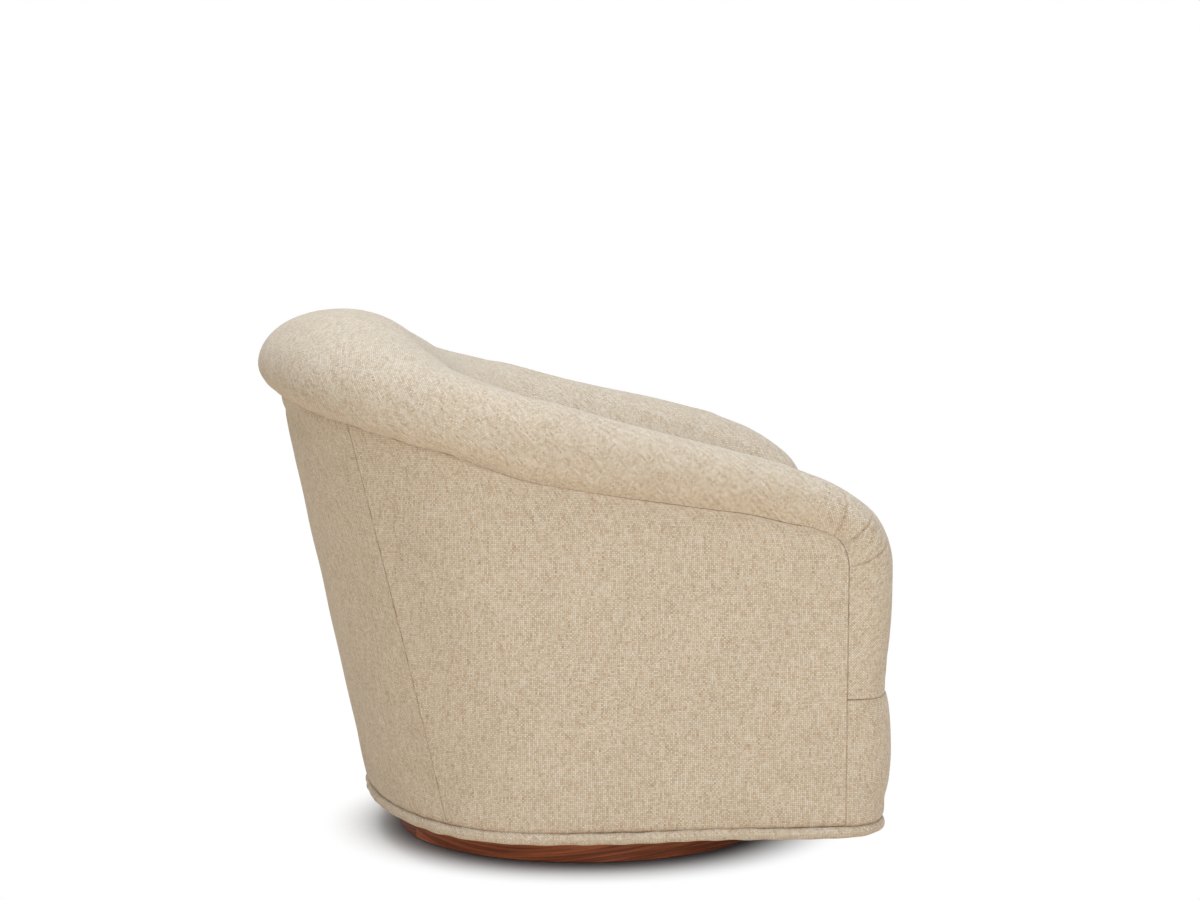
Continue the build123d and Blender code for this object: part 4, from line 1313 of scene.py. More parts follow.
    def rows(self) -> np.ndarray:
        """Ways along the roll of its grid lines: close at the darts and at both feet."""
        raw = self.stations()
        way = np.linspace(0.0, raw["way"][-1], self.way_samples)
        angle = np.interp(way, raw["way"], raw["angle"])
        at_corner = rise(angle, self.corner_on) * (1.0 - rise(angle, self.corner_off))
        step = self.wide_step + (self.corner_step - self.wide_step) * at_corner
        from_foot = np.minimum(way, way[-1] - way)
        step = np.minimum(step, self.edge_step + self.edge_growth * from_foot)
        count = np.concatenate([[0.0], np.cumsum(np.diff(way) / ((step[1:] + step[:-1]) / 2))])
        return np.interp(np.linspace(0.0, count[-1], int(round(count[-1])) + 1), count, way)

    def dart_relief(self, angle: np.ndarray, run: np.ndarray) -> tuple[np.ndarray, np.ndarray]:
        """Depth of the darts and of their painted shade over the roll's grid.

        Args:
            angle: corner angle of each row.
            run: distance from the outside seam of each point.

        Returns:
            How far each point sinks, and how much painted shade its dart's fold gets.
        """
        sink = np.zeros(run.shape)
        dark = np.zeros(run.shape)
        for dart in self.darts:
            share = run / dart.reach
            centre = dart.foot + (dart.tip - dart.foot) * share
            arm = np.radians(angle[:, None] - centre) * (self.tub.seam_corner + self.dart_spread * run)
            depth = dart.depth * (1.0 - rise(share, self.dart_off)) * ease(share / self.dart_start)
            fold = np.exp(-(((arm - self.fold_place) / self.fold_width) ** 2))
            sink += depth * (np.exp(-((arm / self.dart_width) ** 2)) - self.fold_share * fold)
            # Painted shade along the dart's fold
            line = (1.0 - rise(share, self.dart_shade_off)) * np.exp(-((arm / self.dart_shade_width) ** 2))
            dark = np.maximum(dark, line)
        return sink, dark

    def gathers(self, distance: np.ndarray, reach: float) -> np.ndarray:
        """How much the cover puckers at a distance from a seam."""
        return np.exp(-distance / reach) * np.clip(distance / self.pucker_start, 0, 1)

    def build(self) -> bpy.types.Object:
        """Builds and dresses the roll."""
        rows = self.rows()
        made = self.surface(rows, np.linspace(0.0, 1.0, self.columns), np.array(self.edge_lines))
        points, run, total = made["points"], made["run"], made["total"]
        points = points + self.swelling(rows, run / total[:, None])
        normal = -grid_normals(points)
        way = np.broadcast_to(rows[:, None], run.shape)
        from_inner = total[:, None] - run
        from_foot = np.minimum(way, rows[-1] - way)
        at_back = rise(points[:, :, 1], self.back_on)
        at_post = rise(made["angle"], self.post_on)[:, None]
        sink, dark = self.dart_relief(made["angle"], run)
        for distance, share in zip((run, from_inner, from_foot), self.seam_tucks):
            sink = sink + share * tuck(distance, self.seam_radius)
        folds = (1.0 + self.pucker_back * at_back) * self.gathers(run, self.pucker_reach)
        sink = sink + self.pucker * folds * ripple(way, self.pucker_stretch * run, self.pucker_wave, 5)
        folds = self.inner_pucker * self.gathers(from_inner, self.inner_reach)
        sink = sink + self.pucker * folds * ripple(way, self.pucker_stretch * run, self.inner_wave, 6)
        sink = sink + self.uneven * ripple(way, run, self.uneven_wave, 7)
        points = points - normal * sink[..., None]
        # Painted seam shade: stronger at the back with darker stitch dots, fainter at the post and feet;
        # painted shade on the darts' folds too
        strength = (self.seam_arm + self.seam_back * at_back) * (1.0 - self.seam_post_less * at_post)
        stitches = ripple(way, np.zeros_like(run), self.stitch_shade_wave, 8)
        strength = strength * (1.0 + self.stitch_shade * at_back * stitches)
        off_foot = ease(from_foot / self.seam_foot_run)
        strength = strength * (self.seam_foot + (1.0 - self.seam_foot) * off_foot)
        seam = np.clip(self.seam_shade(run, from_inner, from_foot) * strength, 0.0, self.seam_most)
        middle = way - rows[-1] / 2
        turned = np.stack([middle * np.cos(self.bias) - run * np.sin(self.bias),
                           middle * np.sin(self.bias) + run * np.cos(self.bias)], -1)
        shade = np.maximum(seam, self.dart_shade * dark)
        piece = shell("top_roll", points, made["chord"], turned, shade, flip=True)
        self.finish(piece, ["arm_roll_right", "arm_roll_left", "back_roll"], self.stuffing.fill)
        return piece

    def swelling(self, rows: np.ndarray, shares: np.ndarray) -> np.ndarray:
        """How the stuffed cover moves off its drawn shape, read onto the fine grid."""
        way = np.linspace(rows[0], rows[-1], self.trial_rows)
        coarse = self.surface(way, np.linspace(0.0, 1.0, self.trial_columns), np.array([0.0]))
        move = self.stuffing.settle_grid(coarse["points"], flip=True)
        along_rows = cubic_resample(move, rows / rows[-1], 0)
        return np.stack([cubic_resample(line, share, 0) for line, share in zip(along_rows, shares)])


@dataclass
class WallCovers(Upholstery):
    """Flat-cut covers sewn to the tub's walls: outside panels and the padding inside the well."""

    pad_bottom: float = 0.2076
    pad_split: float = 0.040
    # Strength of the painted shade at the front upright seams and at the back gores
    upright_share: float = 1.3
    gore_share: float = 1.5
    upright_tuck: float = 0.5
    pucker: float = 0.0004
    pucker_reach: float = 0.012
    pucker_wave: float = 0.024
    uneven: float = 0.0005
    uneven_wave: float = 0.13
    uneven_start: float = 0.03
    edge_points: int = 60
    seam_points: int = 80
    back_points: int = 120
    panel: Stuffing = Stuffing(0.006, 0.9, pressure=0.6, fullness=0.002, limit=0.0025, bending=4.0)
    pad: Stuffing = Stuffing(0.045, 0.8, pressure=2.5, fullness=0.010, limit=0.006)

    def arm_patch(self, wall: Wall, bottom: float, rear: np.ndarray) -> dict[str, np.ndarray]:
        """Edge curves of an arm's cover, as way round and height on its wall."""
        tub = self.tub
        upright = level_line(bottom, tub.corner_z, -tub.seam_front, self.edge_points)[:-1, ::-1]
        front = np.concatenate([upright, tub.corner_arc(180.0, 135.0)])
        seam = tub.top_edge(wall, tub.corner_y, rear[-1, 0])
        top = np.concatenate([tub.corner_arc(135.0, 90.0)[:-1], seam])
        rear = rear.copy()
        rear[-1] = seam[-1]
        under = level_line(-tub.seam_front, rear[0, 0], bottom, self.edge_points)
        return {"first": front, "last": rear, "low": under, "high": top}

    def back_patch(self, wall: Wall, right: np.ndarray) -> dict[str, np.ndarray]:
        """Edge curves of a cover round the back, between an edge and its mirror."""
        left = np.stack([wall.mirrored_way(right[:, 0]), right[:, 1]], 1)
        top = self.tub.top_edge(wall, right[-1, 0], left[-1, 0])
        under = level_line(right[0, 0], left[0, 0], right[0, 1], self.back_points)
        return {"first": right, "last": left, "low": under, "high": top}

    def cut_at_seam(self, wall: Wall, edge: np.ndarray) -> np.ndarray:
        """An upright edge curve cut off where it meets the roll's seam."""
        gap = edge[:, 1] - self.tub.seam_height(wall.place(edge[:, 0], edge[:, 1])[:, 1])
        stop = np.interp(0.0, gap, np.arange(len(gap)))
        keep = np.append(np.arange(int(np.ceil(stop))), stop)
        return np.stack([np.interp(keep, np.arange(len(edge)), column) for column in edge.T], 1)

    def placed(self, wall: Wall, flat: np.ndarray, side: Side | None) -> np.ndarray:
        """Grid points on a wall, turned over to the left side where asked."""
        points = wall.place(flat[..., 0], flat[..., 1])
        return points * MIRROR if side is Side.LEFT else points

    def upright_shade(self, distances: list[np.ndarray], side: Side | None) -> np.ndarray:
        """Strength of the painted shade at the nearest seam: upright seams have their own."""
        front, rear, *level = distances
        first = self.gore_share if side is None else self.upright_share
        share = np.where(front < rear, first, self.gore_share)
        return np.where(np.minimum(front, rear) < np.minimum(*level), share, 1.0)

    def cover(self, node: str, wall: Wall, edges: dict[str, np.ndarray], side: Side | None, facing: Facing,
              seed: int) -> bpy.types.Object:
        """Builds one cover on a wall and dresses it.

        Args:
            node: the frame node it stands for.
            wall: the wall it lies on.
            edges: its four edge curves, as way round and height.
            side: the side it is for, or None for the back.
            facing: which way it shows.
            seed: picks its unevenness.

        Returns:
            The piece.
        """
        padding = self.panel if facing is Facing.OUTWARD else self.pad
        width = line_length(edges["low"])
        height = line_length(edges["last"])
        rows = edge_spacing(width, self.fine, self.coarse)
        columns = edge_spacing(height, self.fine, self.coarse)
        trial = patch(rows=self.trial_shares(width), columns=self.trial_shares(height), **edges)
        turned = (side is Side.LEFT) != (facing is Facing.INWARD)
        points = self.placed(wall, patch(rows=rows, columns=columns, **edges), side)
        normal = grid_normals(points) * (1.0 if turned else -1.0)
        move = padding.settle_grid(self.placed(wall, trial, side), flip=not turned)
        points = points + grid_resample(move, rows, columns)
        down, across = grid_runs(points)
        distances = edge_distances(points)
        nearest = np.minimum.reduce(distances)
        sewn = distances if facing is Facing.INWARD else distances[:3]
        sink = sum(self.upright_tuck * tuck(distance, self.seam_radius) for distance in sewn)
        # Painted shade at the seams, and deeper painted shade in the crease above the welt on outside panels
        shade = self.seam_shade(*distances) * self.upright_shade(distances, side)
        if facing is Facing.OUTWARD:
            sink = sink + self.welt_share * tuck(distances[2], self.welt_tuck)
            shade = np.maximum(shade, self.welt_shade(distances[2]))
        gathers = self.pucker * np.exp(-nearest / self.pucker_reach)
        sink = sink + gathers * ripple(down, across, self.pucker_wave, seed)
        uneven = self.uneven * ease(nearest / self.uneven_start)
        sink = sink + uneven * ripple(down, across, self.uneven_wave, seed + 1)
        shown = points - normal * sink[..., None]
        hidden = self.backing(points, shown, normal, padding.depth, padding.depth + self.edge_depth)
        cloth = np.stack([down - down.mean(), across], -1)
        piece = shell(node + "_cover", shown, hidden, cloth, shade, flip=not turned)
        self.finish(piece, [node], padding.fill)
        return piece

    def build(self) -> None:
        """Builds every wall cover."""
        tub = self.tub
        wall, well = tub.outside, tub.well
        up = np.linspace(tub.panel_bottom, tub.seam_back_height, self.seam_points)
        gore = self.cut_at_seam(wall, np.stack([wall.way_at_width(tub.back_seam(up), up), up], 1))
        up = np.linspace(self.pad_bottom, tub.seam_back_height, self.seam_points)
        split = self.cut_at_seam(well, np.stack([well.way_at_depth(self.pad_split, up), up], 1))
        for side in Side:
            panel = self.arm_patch(wall, tub.panel_bottom, gore)
            self.cover("outside_panel_" + side.word, wall, panel, side, Facing.OUTWARD, 21 + int(side.value))
            pad = self.arm_patch(well, self.pad_bottom, split)
            self.cover("inside_arm_pad_" + side.word, well, pad, side, Facing.INWARD, 31 + int(side.value))
        self.cover("outside_back_panel", wall, self.back_patch(wall, gore), None, Facing.OUTWARD, 41)
        self.cover("inside_back_pad", well, self.back_patch(well, split), None, Facing.INWARD, 51)


@dataclass
class FrontApron(Upholstery):
    """The padded apron under the seat, round both front corners."""

    pull_top: float = 0.006
    pull_bottom: float = 0.010
    land: float = 0.060
    land_lines: tuple[float, ...] = (0.05, 0.15, 0.35, 0.65, 1.0)
    top_round: float = 0.003
    round_points: int = 16
    top_gap: float = 0.0001
    measured_at: float = 0.4
    measuring_points: int = 200
    sewn_tucks: tuple[float, ...] = (0.5, 0.5, 0.5, 0.2)
    # Strength of the painted shade at the apron's level seams
    level_share: float = 0.5
    pucker: float = 0.0006
    pucker_reach: float = 0.014
    pucker_wave: float = 0.026
    uneven: float = 0.0006
    uneven_wave: float = 0.12
    uneven_start: float = 0.03
    stuffing: Stuffing = Stuffing(0.024, 0.8, pressure=1.6, fullness=0.006, limit=0.004, bending=2.0)

    def plan(self, way: np.ndarray, inset: np.ndarray, z: np.ndarray) -> np.ndarray:
        """Points of the apron at shares of the way round the front, distances inwards and heights."""
        tub = self.tub
        half = tub.outside.size(z)[0]
        radius = tub.front_corner
        side_run = tub.front_reach - radius - tub.seam_front
        bend = radius * pi / 2
        flat = half - radius
        total = side_run + bend + flat
        mirrored = np.minimum(way, 1.0 - way) * 2 * total
        angle = np.clip((mirrored - side_run) / radius, 0.0, pi / 2)
        x = -flat - (radius - inset) * np.cos(angle) + np.maximum(mirrored - side_run - bend, 0.0)
        y = -tub.seam_front - np.minimum(mirrored, side_run) - (radius - inset) * np.sin(angle)
        middle = (tub.panel_bottom + tub.deck_top) / 2
        reach = np.abs(z - middle) / (tub.deck_top - middle)
        pull = np.where(z < middle, self.pull_bottom, self.pull_top) * reach**2
        y = y + pull * ease(angle / (pi / 2))
        return np.stack(np.broadcast_arrays(np.where(way > 0.5, -x, x), y, z), -1)

    def profile(self) -> np.ndarray:
        """The apron's upright cut: up its face, over a round edge and in along its top."""
        turn = np.linspace(0.0, pi / 2, self.round_points)
        top = self.tub.deck_top - self.top_gap
        edge = np.stack([self.top_round * (1 - np.cos(turn)), top - self.top_round * (1 - np.sin(turn))], 1)
        return np.concatenate([[[0.0, self.tub.panel_bottom]], edge, [[self.land, top]]])

    def face(self, rows: np.ndarray, columns: np.ndarray) -> np.ndarray:
        """The apron's grid at shares of its length and of its cut."""
        inset, z = along(self.profile(), columns).T
        return self.plan(*np.broadcast_arrays(rows[:, None], inset[None], z[None]))

    def build(self) -> bpy.types.Object:
        """Builds and dresses the apron."""
        middle = self.face(np.linspace(0, 1, self.measuring_points), np.array([self.measured_at]))[:, 0]
        length = line_length(middle)
        cut = line_length(self.profile())
        height = cut - self.land
        rows = edge_spacing(length, self.fine, self.coarse)
        face = edge_spacing(height, self.fine, self.coarse) * height
        columns = np.concatenate([face, height + self.land * np.array(self.land_lines)]) / cut
        points = self.face(rows, columns)
        trial = self.face(self.trial_shares(length), self.trial_shares(cut))
        normal = grid_normals(points)
        points = points + grid_resample(self.stuffing.settle_grid(trial, flip=False), rows, columns)
        down, across = grid_runs(points)
        first, last, low = edge_distances(points)[:3]
        over = np.abs(across - across[:, len(face) - 1:len(face)])
        distances = [first, last, low, over]
        nearest = np.minimum.reduce(distances)
        sink = sum(share * tuck(d, self.seam_radius) for share, d in zip(self.sewn_tucks, distances))
        sink = sink + self.welt_share * tuck(low, self.welt_tuck)
        gathers = self.pucker * np.exp(-nearest / self.pucker_reach)
        sink = sink + gathers * ripple(down, across, self.pucker_wave, 61)
        uneven = self.uneven * ease(nearest / self.uneven_start)
        sink = sink + uneven * ripple(down, across, self.uneven_wave, 62)
        shown = points - normal * sink[..., None]
        shown[..., 2] = np.minimum(shown[..., 2], self.tub.deck_top - self.top_gap)
        hidden = self.backing(points, shown, normal, self.stuffing.depth, self.stuffing.depth)
        cloth = np.stack([down - length / 2, across], -1)
        # Painted shade at the seams and in the crease above the welt
        shade = np.maximum.reduce([self.level_share * self.seam_shade(low, over), self.welt_shade(low),
                                   self.seam_shade(first, last)])
        piece = shell("front_apron_cover", shown, hidden, cloth, shade, flip=False)
        self.finish(piece, ["front_apron"], self.stuffing.fill)
        return piece


@dataclass
class BottomWelt(Upholstery):
    """The thick cloth-covered cord round the tub's bottom edge."""

    low: float = 0.0528
    radius: float = 0.0078
    front_pull: float = 0.0095
    proud: float = 0.0050
    step: float = 0.005
    around: int = 22
    run_points: int = 60
    lump: float = 0.0006
    lump_wave: float = 0.045
    wander: float = 0.0009
    wander_wave: float = 0.20
    waves: int = 7
    # Painted shade on the cord's upper inner side, in the crease under the panel: strength, angle round the
    # cord and width
    welt_crease_shade: float = 1.4
    welt_crease_angle: float = 0.66 * pi
    welt_crease_width: float = 0.50

    def outline(self) -> np.ndarray:
        """Points of the tub's plan at the welt, once round from the front middle."""
        tub, count = self.tub, self.run_points
        half, depth = tub.outside.size(self.low + self.radius)
        corner, front = tub.front_corner, tub.front_reach - self.front_pull
        turn = np.linspace(0.0, pi / 2, count)
        front_line = level_line(0.0, corner - half, -front, count)
        bend = np.stack([corner - half - corner * np.sin(turn), corner - front - corner * np.cos(turn)], 1)
        side = level_line(corner - front, tub.outside.curve_start, -half, count)[:, ::-1]
        sweep = np.stack([-half * np.cos(turn), tub.outside.curve_start + depth * np.sin(turn)], 1)
        right = np.concatenate([front_line, bend[1:], side[1:], sweep[1:]])
        return np.concatenate([right, right[-2:0:-1] * MIRROR_PLAN, right[:1]])

    def build(self) -> bpy.types.Object:
        """Builds and dresses the welt."""
        line = self.outline()
        length = line_length(line)
        count = int(length / self.step)
        way = np.arange(count) / count
        centre = along(line, way)
        outward = plan_normals(centre)
        centre = centre - outward * (self.radius - self.proud)
        size = self.radius + self.lump * self.closed_ripple(way, length, self.lump_wave, 71)
        height = self.low + self.radius + self.wander * self.closed_ripple(way, length, self.wander_wave, 72)
        angle = 2 * pi * np.arange(self.around) / self.around
        ring_out = size[:, None] * np.cos(angle)
        ring_up = size[:, None] * np.sin(angle)
        points = np.concatenate([centre[:, None] + ring_out[..., None] * outward[:, None],
                                 (height[:, None] + ring_up)[..., None]], -1)
        index = np.arange(count * self.around).reshape(count, self.around)
        over, beside = np.roll(index, -1, axis=0), np.roll(index, -1, axis=1)
        faces = face_list(np.stack([index, beside, np.roll(over, -1, axis=1), over], -1))
        run, girth = np.broadcast_arrays((way * length)[:, None], (angle * self.radius)[None])
        cloth = np.stack([run - girth, run + girth], -1) * np.sqrt(0.5)
        # Painted shade along the cord's upper inner side
        top = self.welt_crease_shade * np.exp(-(((angle - self.welt_crease_angle) / self.welt_crease_width) ** 2))
        piece = new_object("bottom_welt_cord", points.reshape(-1, 3), faces, cloth.reshape(-1, 2),
                           np.tile(top, count))
        self.finish(piece, ["bottom_welt"], fill=1.0)
        return piece

    def closed_ripple(self, way: np.ndarray, length: float, wave: float, seed: int) -> np.ndarray:
        """An uneven field along a closed loop."""
        draw = np.random.default_rng(seed)
        total = np.zeros_like(way)
        for _ in range(self.waves):
            cycles = max(int(round(length / (wave * draw.uniform(*WAVE_SPREAD)))), 1)
            total += np.sin(2 * pi * cycles * way + draw.uniform(0, 2 * pi))
        return total / np.sqrt(self.waves)


@dataclass
class SeatCushion(Upholstery):
    """The loose boxed seat cushion."""

    front: float = 0.381
    clearance: float = 0.0042
    bottom: float = 0.2384
    edge_height: float = 0.415
    crown: float = 0.032
    crown_power: int = 5
    corner: float = 0.045
    draw_in: float = 0.004
    front_bow: float = 0.005
    front_points: int = 80
    corner_points: int = 40
    side_points: int = 60
    back_points: int = 90
    seam_inset: float = 0.004
    bottom_round: float = 0.016
    bottom_power: int = 14
    segments: int = 60
    edge_crowding: float = 0.6
    box_fine: float = 0.0009
    box_coarse: float = 0.008
    box_give: float = 0.6
    uneven: float = 0.0009
    uneven_wave: float = 0.15
    seam_tuck: float = 0.005
    stuffing: Stuffing = Stuffing(fill=0.75, pressure=3.0, fullness=0.010, limit=0.0045, bending=1.0)

    def outline(self) -> list[np.ndarray]:
        """The cushion's plan in four runs: front, left, back and right, between its four corners."""
        well = self.tub.well
        half = self.tub.well_half - self.clearance
        depth = well.depth_low - self.clearance
        front, corner = -self.front, self.corner
        across = np.linspace(-1.0, 1.0, self.front_points)
        bow = np.stack([across * (half - corner), front - self.front_bow * (1 - across**2)], 1)
        turn = np.linspace(0.0, pi / 2, self.corner_points)
        bend = np.stack([half - corner + corner * np.sin(turn), front + corner - corner * np.cos(turn)], 1)
        share = np.linspace(0.0, 1.0, self.side_points)
        side = np.stack([half - self.draw_in * np.sin(share * pi),
                         front + corner + (well.curve_start - front - corner) * share], 1)
        sweep = np.linspace(0.0, pi / 2, self.back_points)
        back = np.stack([half * np.cos(sweep), well.curve_start + depth * np.sin(sweep)], 1)
        mid_bend, mid_back = self.corner_points // 2, self.back_points // 2
        front_run = np.concatenate([(bend[:mid_bend] * MIRROR_PLAN)[::-1], bow[1:-1], bend[:mid_bend]])
        left_run = np.concatenate([bend[mid_bend - 1:], side[1:], back[1:mid_back]])
        back_run = np.concatenate([back[mid_back - 1:], (back[mid_back - 1:-1] * MIRROR_PLAN)[::-1]])
        return [front_run, left_run, back_run, (left_run * MIRROR_PLAN)[::-1]]

    def sheet(self, runs: list[np.ndarray]) -> tuple[np.ndarray, np.ndarray]:
        """A square grid bent to the plan, and how far out each point is, from 0 to 1."""
        even = np.linspace(-1.0, 1.0, self.segments + 1)
        spread = even * (1 + self.edge_crowding * (1 - np.abs(even)))
        a, b = np.meshgrid(spread, spread, indexing="ij")
        out = np.maximum(np.abs(a), np.abs(b))
        safe = np.maximum(out, TINY)
        centre = np.mean(np.concatenate(runs), axis=0)
        flat = np.zeros(a.shape + (2,))
        masks = [(b == -out, a / safe), (a == out, b / safe), (b == out, -a / safe), (a == -out, -b / safe)]
        for run, (mask, share) in zip(runs, masks):
            flat[mask] = along(run, (share[mask] + 1) / 2)
        return centre + out[..., None] * (flat - centre), out

    def build(self) -> bpy.types.Object:
        """Builds, stuffs and dresses the cushion."""
        plan, out = self.sheet(self.outline())
        count = self.segments + 1
        size = count * count
        loop = border_loop(count, count)
        rim = plan.reshape(-1, 2)[loop]
        centre = plan[count // 2, count // 2]
        inset = 1.0 - self.seam_inset / self.tub.well_half
        flat = centre + (plan - centre) * inset
        top = with_height(flat, self.edge_height + self.crown * (1 - out**self.crown_power))
        low = with_height(flat, self.bottom + self.bottom_round * out**self.bottom_power)
        box_height = self.edge_height - self.bottom - self.bottom_round
        shares = edge_spacing(box_height, self.box_fine, self.box_coarse)[1:-1]
        bulge = inset + (1 - inset) * np.sin(shares * pi) ** 0.5
        ring_z = self.bottom + self.bottom_round + box_height * shares
        rings = with_height(centre + (rim - centre)[None] * bulge[:, None, None], ring_z[:, None])
        points = np.concatenate([grid.reshape(-1, 3) for grid in (top, low, rings)])
        box = 2 * size + np.arange(len(shares) * len(loop)).reshape(len(shares), -1)
        bands = [loop + size, *box, loop]
        faces = grid_faces(count, count, 0) + grid_faces(count, count, size, flip=True)
        for below, above in zip(bands[:-1], bands[1:]):
            faces += face_list(np.stack([below, above, np.roll(above, -1), np.roll(below, -1)], -1))
        held = np.zeros(len(points), dtype=bool)
        held[size: 2 * size] = True
        held[loop] = True
        move = self.stuffing.settle(points, faces, held)
        move[2 * size:, :2] *= self.box_give
        points = points + move
        points[:size, 2] += self.uneven * ripple(points[:size, 0], points[:size, 1], self.uneven_wave, 81)
        from_rim = (1 - out.ravel()) * self.tub.well_half
        from_seam = np.repeat(np.minimum(shares, 1 - shares) * box_height, len(loop))
        edge_run = np.concatenate([from_rim, from_rim, from_seam])
        inward = with_height(centre - points[:, :2], np.zeros(len(points)))
        inward /= np.maximum(np.linalg.norm(inward, axis=1, keepdims=True), TINY)
        points = points + inward * tuck(edge_run, self.seam_tuck)[:, None]
        perimeter = np.concatenate([[0.0], np.cumsum(np.linalg.norm(np.diff(rim, axis=0), axis=1))])
        cloth = points[:, :2].copy()
        cloth[2 * size:] = np.stack(np.broadcast_arrays(perimeter[None], ring_z[:, None]), -1).reshape(-1, 2)
        # The cushion's seams get painted seam shade
        piece = new_object("seat_cushion_cover", points, faces, cloth, self.seam_shade(edge_run))
        self.finish(piece, ["seat_cushion"], self.stuffing.fill, body="cushion")
        return piece


@dataclass
class DeckPad(Upholstery):
    """The plain sprung deck under the loose cushion."""

    bottom: float = 0.2076
    top: float = 0.2378
    front: float = 0.3445
    clearance: float = 0.0006
    edge_round: float = 0.006
    sag: float = 0.003
    count: int = 48
    side_points: int = 40
    back_points: int = 60

    def build(self) -> bpy.types.Object:
        """Builds and dresses the deck."""
        well = self.tub.well
        half = self.tub.well_half - self.clearance
        depth = well.depth_low - self.clearance
        share = np.linspace(0.0, 1.0, self.count)
        turn = np.linspace(0.0, pi / 2, self.back_points)
        side = level_line(-self.front, well.curve_start, half, self.side_points)[:, ::-1]
        back = np.stack([half * np.cos(turn), well.curve_start + depth * np.sin(turn)], 1)
        right = along(np.concatenate([side, back[1:]]), share)
        across = np.linspace(-1.0, 1.0, self.count)[None]
        flat = np.stack(np.broadcast_arrays(right[:, :1] * across, right[:, 1:]), -1)
        from_side = 1 - np.abs(across)
        down = grid_runs(with_height(flat, np.zeros(flat.shape[:2])))[0]
        round_off = tuck(np.minimum(down, from_side * half), self.edge_round)
        dish = self.sag * ease(from_side * 2) * np.sin(share[:, None] * pi)
        shown = with_height(flat, self.top - dish - round_off)
        hidden = with_height(flat, np.full(flat.shape[:2], self.bottom))
        piece = shell("deck_pad", shown, hidden, flat, np.zeros(flat.shape[:2]), flip=True)
        self.finish(piece, ["seat_deck"], fill=0.9, slot=DECK_SLOT)
        return piece


@dataclass
class DustSheet:
    """The black spun cloth tacked under the tub, with an opening for the swivel."""

    tub: TubForm
    wardrobe: Wardrobe
    top: float = 0.0660
    thickness: float = 0.0008
    inset: float = 0.022
    opening: float = 0.110
    sag: float = 0.0015
    rings: int = 14
    around: int = 240

    def build(self) -> bpy.types.Object:
        line = along(BottomWelt(self.tub, self.wardrobe).outline(), np.arange(self.around) / self.around)
        edge = line - plan_normals(line) * self.inset
        hole = edge * (self.opening / np.abs(edge).max(axis=1))[:, None]
        share = np.linspace(0.0, 1.0, self.rings)[:, None]
        droop = self.sag * np.sin(share * pi)
        above = with_height(hole + (edge - hole) * share[..., None], self.top - droop)
        below = above - np.array([0.0, 0.0, self.thickness])
        count = self.rings * self.around
        index = np.arange(count).reshape(self.rings, self.around)
        beside = np.roll(index, -1, axis=1)
        up = np.stack([index[:-1], index[1:], beside[1:], beside[:-1]], -1).reshape(-1, 4)
        inner_rim = np.stack([index[0], beside[0], beside[0] + count, index[0] + count], -1)
        outer_rim = np.stack([index[-1], index[-1] + count, beside[-1] + count, beside[-1]], -1)
        faces = face_list(np.concatenate([up, up[:, ::-1] + count, inner_rim, outer_rim]))
        points = np.concatenate([above.reshape(-1, 3), below.reshape(-1, 3)])
        piece = new_object("dust_sheet", points, faces, smooth_levels=0)
        self.wardrobe.dress(piece, DUST_SLOT)
        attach(piece, CHAIR)
        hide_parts("dust_cover")
        return piece


@dataclass(frozen=True)
class SoftBox:
    """One square soft light: its name, its place, its side in metres, its power and its colour."""

    name: str
    place: Place
    side: float
    power: float
    colour: tuple[float, float, float]

    def hang(self, target: Place) -> None:
        """Hangs the box so that it faces a target."""
        lamp = bpy.data.lights.new(self.name, "AREA")
        lamp.shape = "SQUARE"
        lamp.size = self.side
        lamp.energy = self.power
        lamp.color = self.colour
        box = bpy.data.objects.new(self.name, lamp)
        box.location = self.place
        box.rotation_euler = (Vector(target) - Vector(self.place)).to_track_quat("-Z", "Y").to_euler()
        bpy.context.scene.collection.objects.link(box)


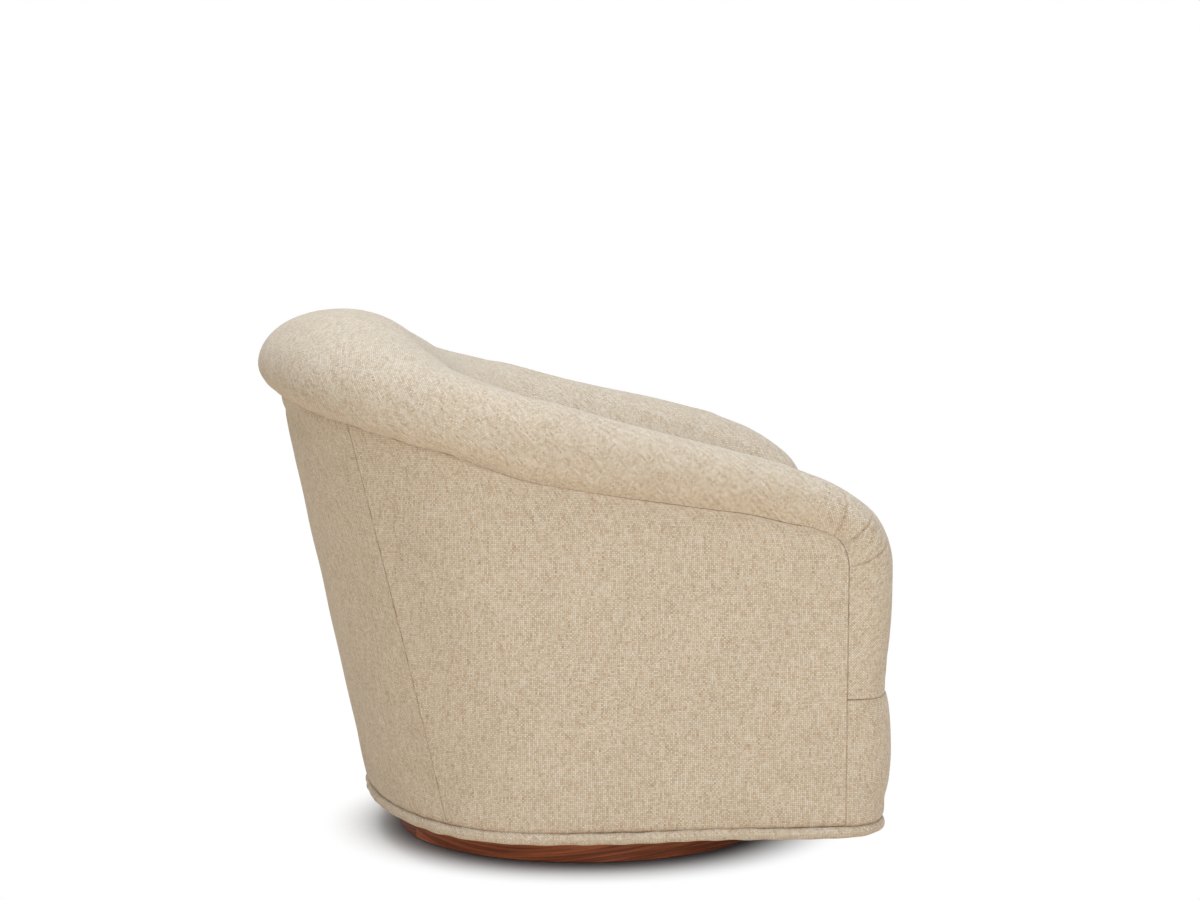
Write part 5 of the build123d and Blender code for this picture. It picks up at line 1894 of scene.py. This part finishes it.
@dataclass
class Studio:
    """Pale floor, soft light and the camera at the photograph's place."""

    camera_place: Place = (-4.1768, 0.4405, 1.0082)
    camera_aim: Place = (0.98745, -0.10943, -0.11381)
    lens: float = 90.68
    sensor: float = 36.0
    floor_side: float = 24.0
    ambient: float = 0.34
    ambient_colour: Colour = (1.0, 0.945, 0.87, 1.0)
    floor_colour: Colour = (0.93, 0.93, 0.93, 1.0)
    bounce_colour: Colour = (0.95, 0.82, 0.66, 1.0)
    # Painted contact shadow: the floor's colour darkens towards the plinth over this reach
    contact_shadow_colour: Colour = (0.50, 0.55, 0.62, 1.0)
    contact_shadow_reach: Span = (0.25, 0.32)
    shadow: Span = (0.255, 0.375)
    light_target: Place = (0.0, 0.0, 0.35)
    lights: tuple[SoftBox, ...] = (SoftBox("key", (-3.6, -0.6, 1.5), 2.6, 55.0, (0.98, 1.0, 1.03)),
                                   SoftBox("top", (0.0, 0.1, 3.4), 3.2, 90.0, (0.945, 1.0, 1.07)),
                                   SoftBox("fill", (-2.2, 3.0, 1.6), 2.4, 13.0, (1.0, 0.92, 0.80)))

    def lay_floor(self) -> None:
        """Lays the floor, white to the camera apart from the chair's shadow and a painted contact shadow
        round the plinth.
        """
        half = self.floor_side / 2
        corners = np.array([[-half, -half, 0.0], [half, -half, 0.0], [half, half, 0.0], [-half, half, 0.0]])
        floor = new_object("studio_floor", corners, [(0, 1, 2, 3)], smooth_levels=0)
        material, desk, shader = start_material("studio_floor")
        reach = desk.add("VectorMath", {0: desk.object_place()}, operation="LENGTH").outputs["Value"]
        seen = self.seen_rays(desk)
        away = desk.math("MULTIPLY", desk.remap(reach, self.shadow, UNIT, "SMOOTHSTEP"), seen)
        # Painted contact shadow round the plinth, on top of the real shadow
        near = desk.remap(reach, self.contact_shadow_reach, UNIT, "SMOOTHSTEP")
        shadowed_floor_colour = desk.tint(near, self.contact_shadow_colour, self.floor_colour)
        floor_colour = desk.tint(seen, self.bounce_colour, shadowed_floor_colour)
        desk.feed_all(shader, {"Base Color": desk.tint(away, floor_colour, BLACK),
                               "Emission Color": desk.tint(away, BLACK, WHITE), "Emission Strength": 1.0,
                               "Roughness": 1.0, "Specular IOR Level": 0.0})
        floor.data.materials.append(material)

    def seen_rays(self, desk: NodeDesk) -> bpy.types.NodeSocket:
        """1 for the rays in which the background shows itself, 0 for those that light the chair."""
        path = desk.add("LightPath").outputs
        seen = desk.math("MAXIMUM", path["Is Camera Ray"], path["Is Glossy Ray"])
        return desk.math("MAXIMUM", seen, path["Is Transmission Ray"])

    def light(self) -> None:
        """Hangs the soft boxes and sets the surroundings."""
        for box in self.lights:
            box.hang(self.light_target)
        world = bpy.data.worlds.new("studio")
        world.use_nodes = True
        desk = NodeDesk(world.node_tree)
        seen = self.seen_rays(desk)
        background = world.node_tree.nodes["Background"]
        desk.feed_all(background, {"Color": desk.tint(seen, self.ambient_colour, WHITE),
                                   "Strength": desk.blend(seen, self.ambient, 1.0)})
        bpy.context.scene.world = world

    def place_camera(self) -> None:
        """Sets the camera up."""
        data = bpy.data.cameras.new("camera")
        data.lens = self.lens
        data.sensor_fit = "HORIZONTAL"
        data.sensor_width = self.sensor
        data.dof.use_dof = False
        camera = bpy.data.objects.new("camera", data)
        camera.location = self.camera_place
        camera.rotation_euler = Vector(self.camera_aim).to_track_quat("-Z", "Y").to_euler()
        bpy.context.scene.collection.objects.link(camera)
        bpy.context.scene.camera = camera

    def build(self) -> None:
        """Sets up the whole studio."""
        self.place_camera()
        self.lay_floor()
        self.light()
        bpy.context.scene.view_settings.view_transform = "Standard"


def write_sizes() -> None:
    """Brings the view layer up to date."""
    bpy.context.view_layer.update()


def main() -> None:
    """Builds the studio and dresses the chair, sub-assembly by sub-assembly."""
    logging.basicConfig(level=logging.INFO, format="%(name)s: %(message)s")
    Studio().build()
    tub = TubForm()
    wardrobe = Wardrobe(Groups())
    wardrobe.dress_frame(frame["record"], frame["nodes"])
    for assembly in (TopRoll, WallCovers, FrontApron, BottomWelt, SeatCushion, DeckPad, DustSheet):
        assembly(tub, wardrobe).build()
    write_sizes()


if __name__ == "__main__":
    main()
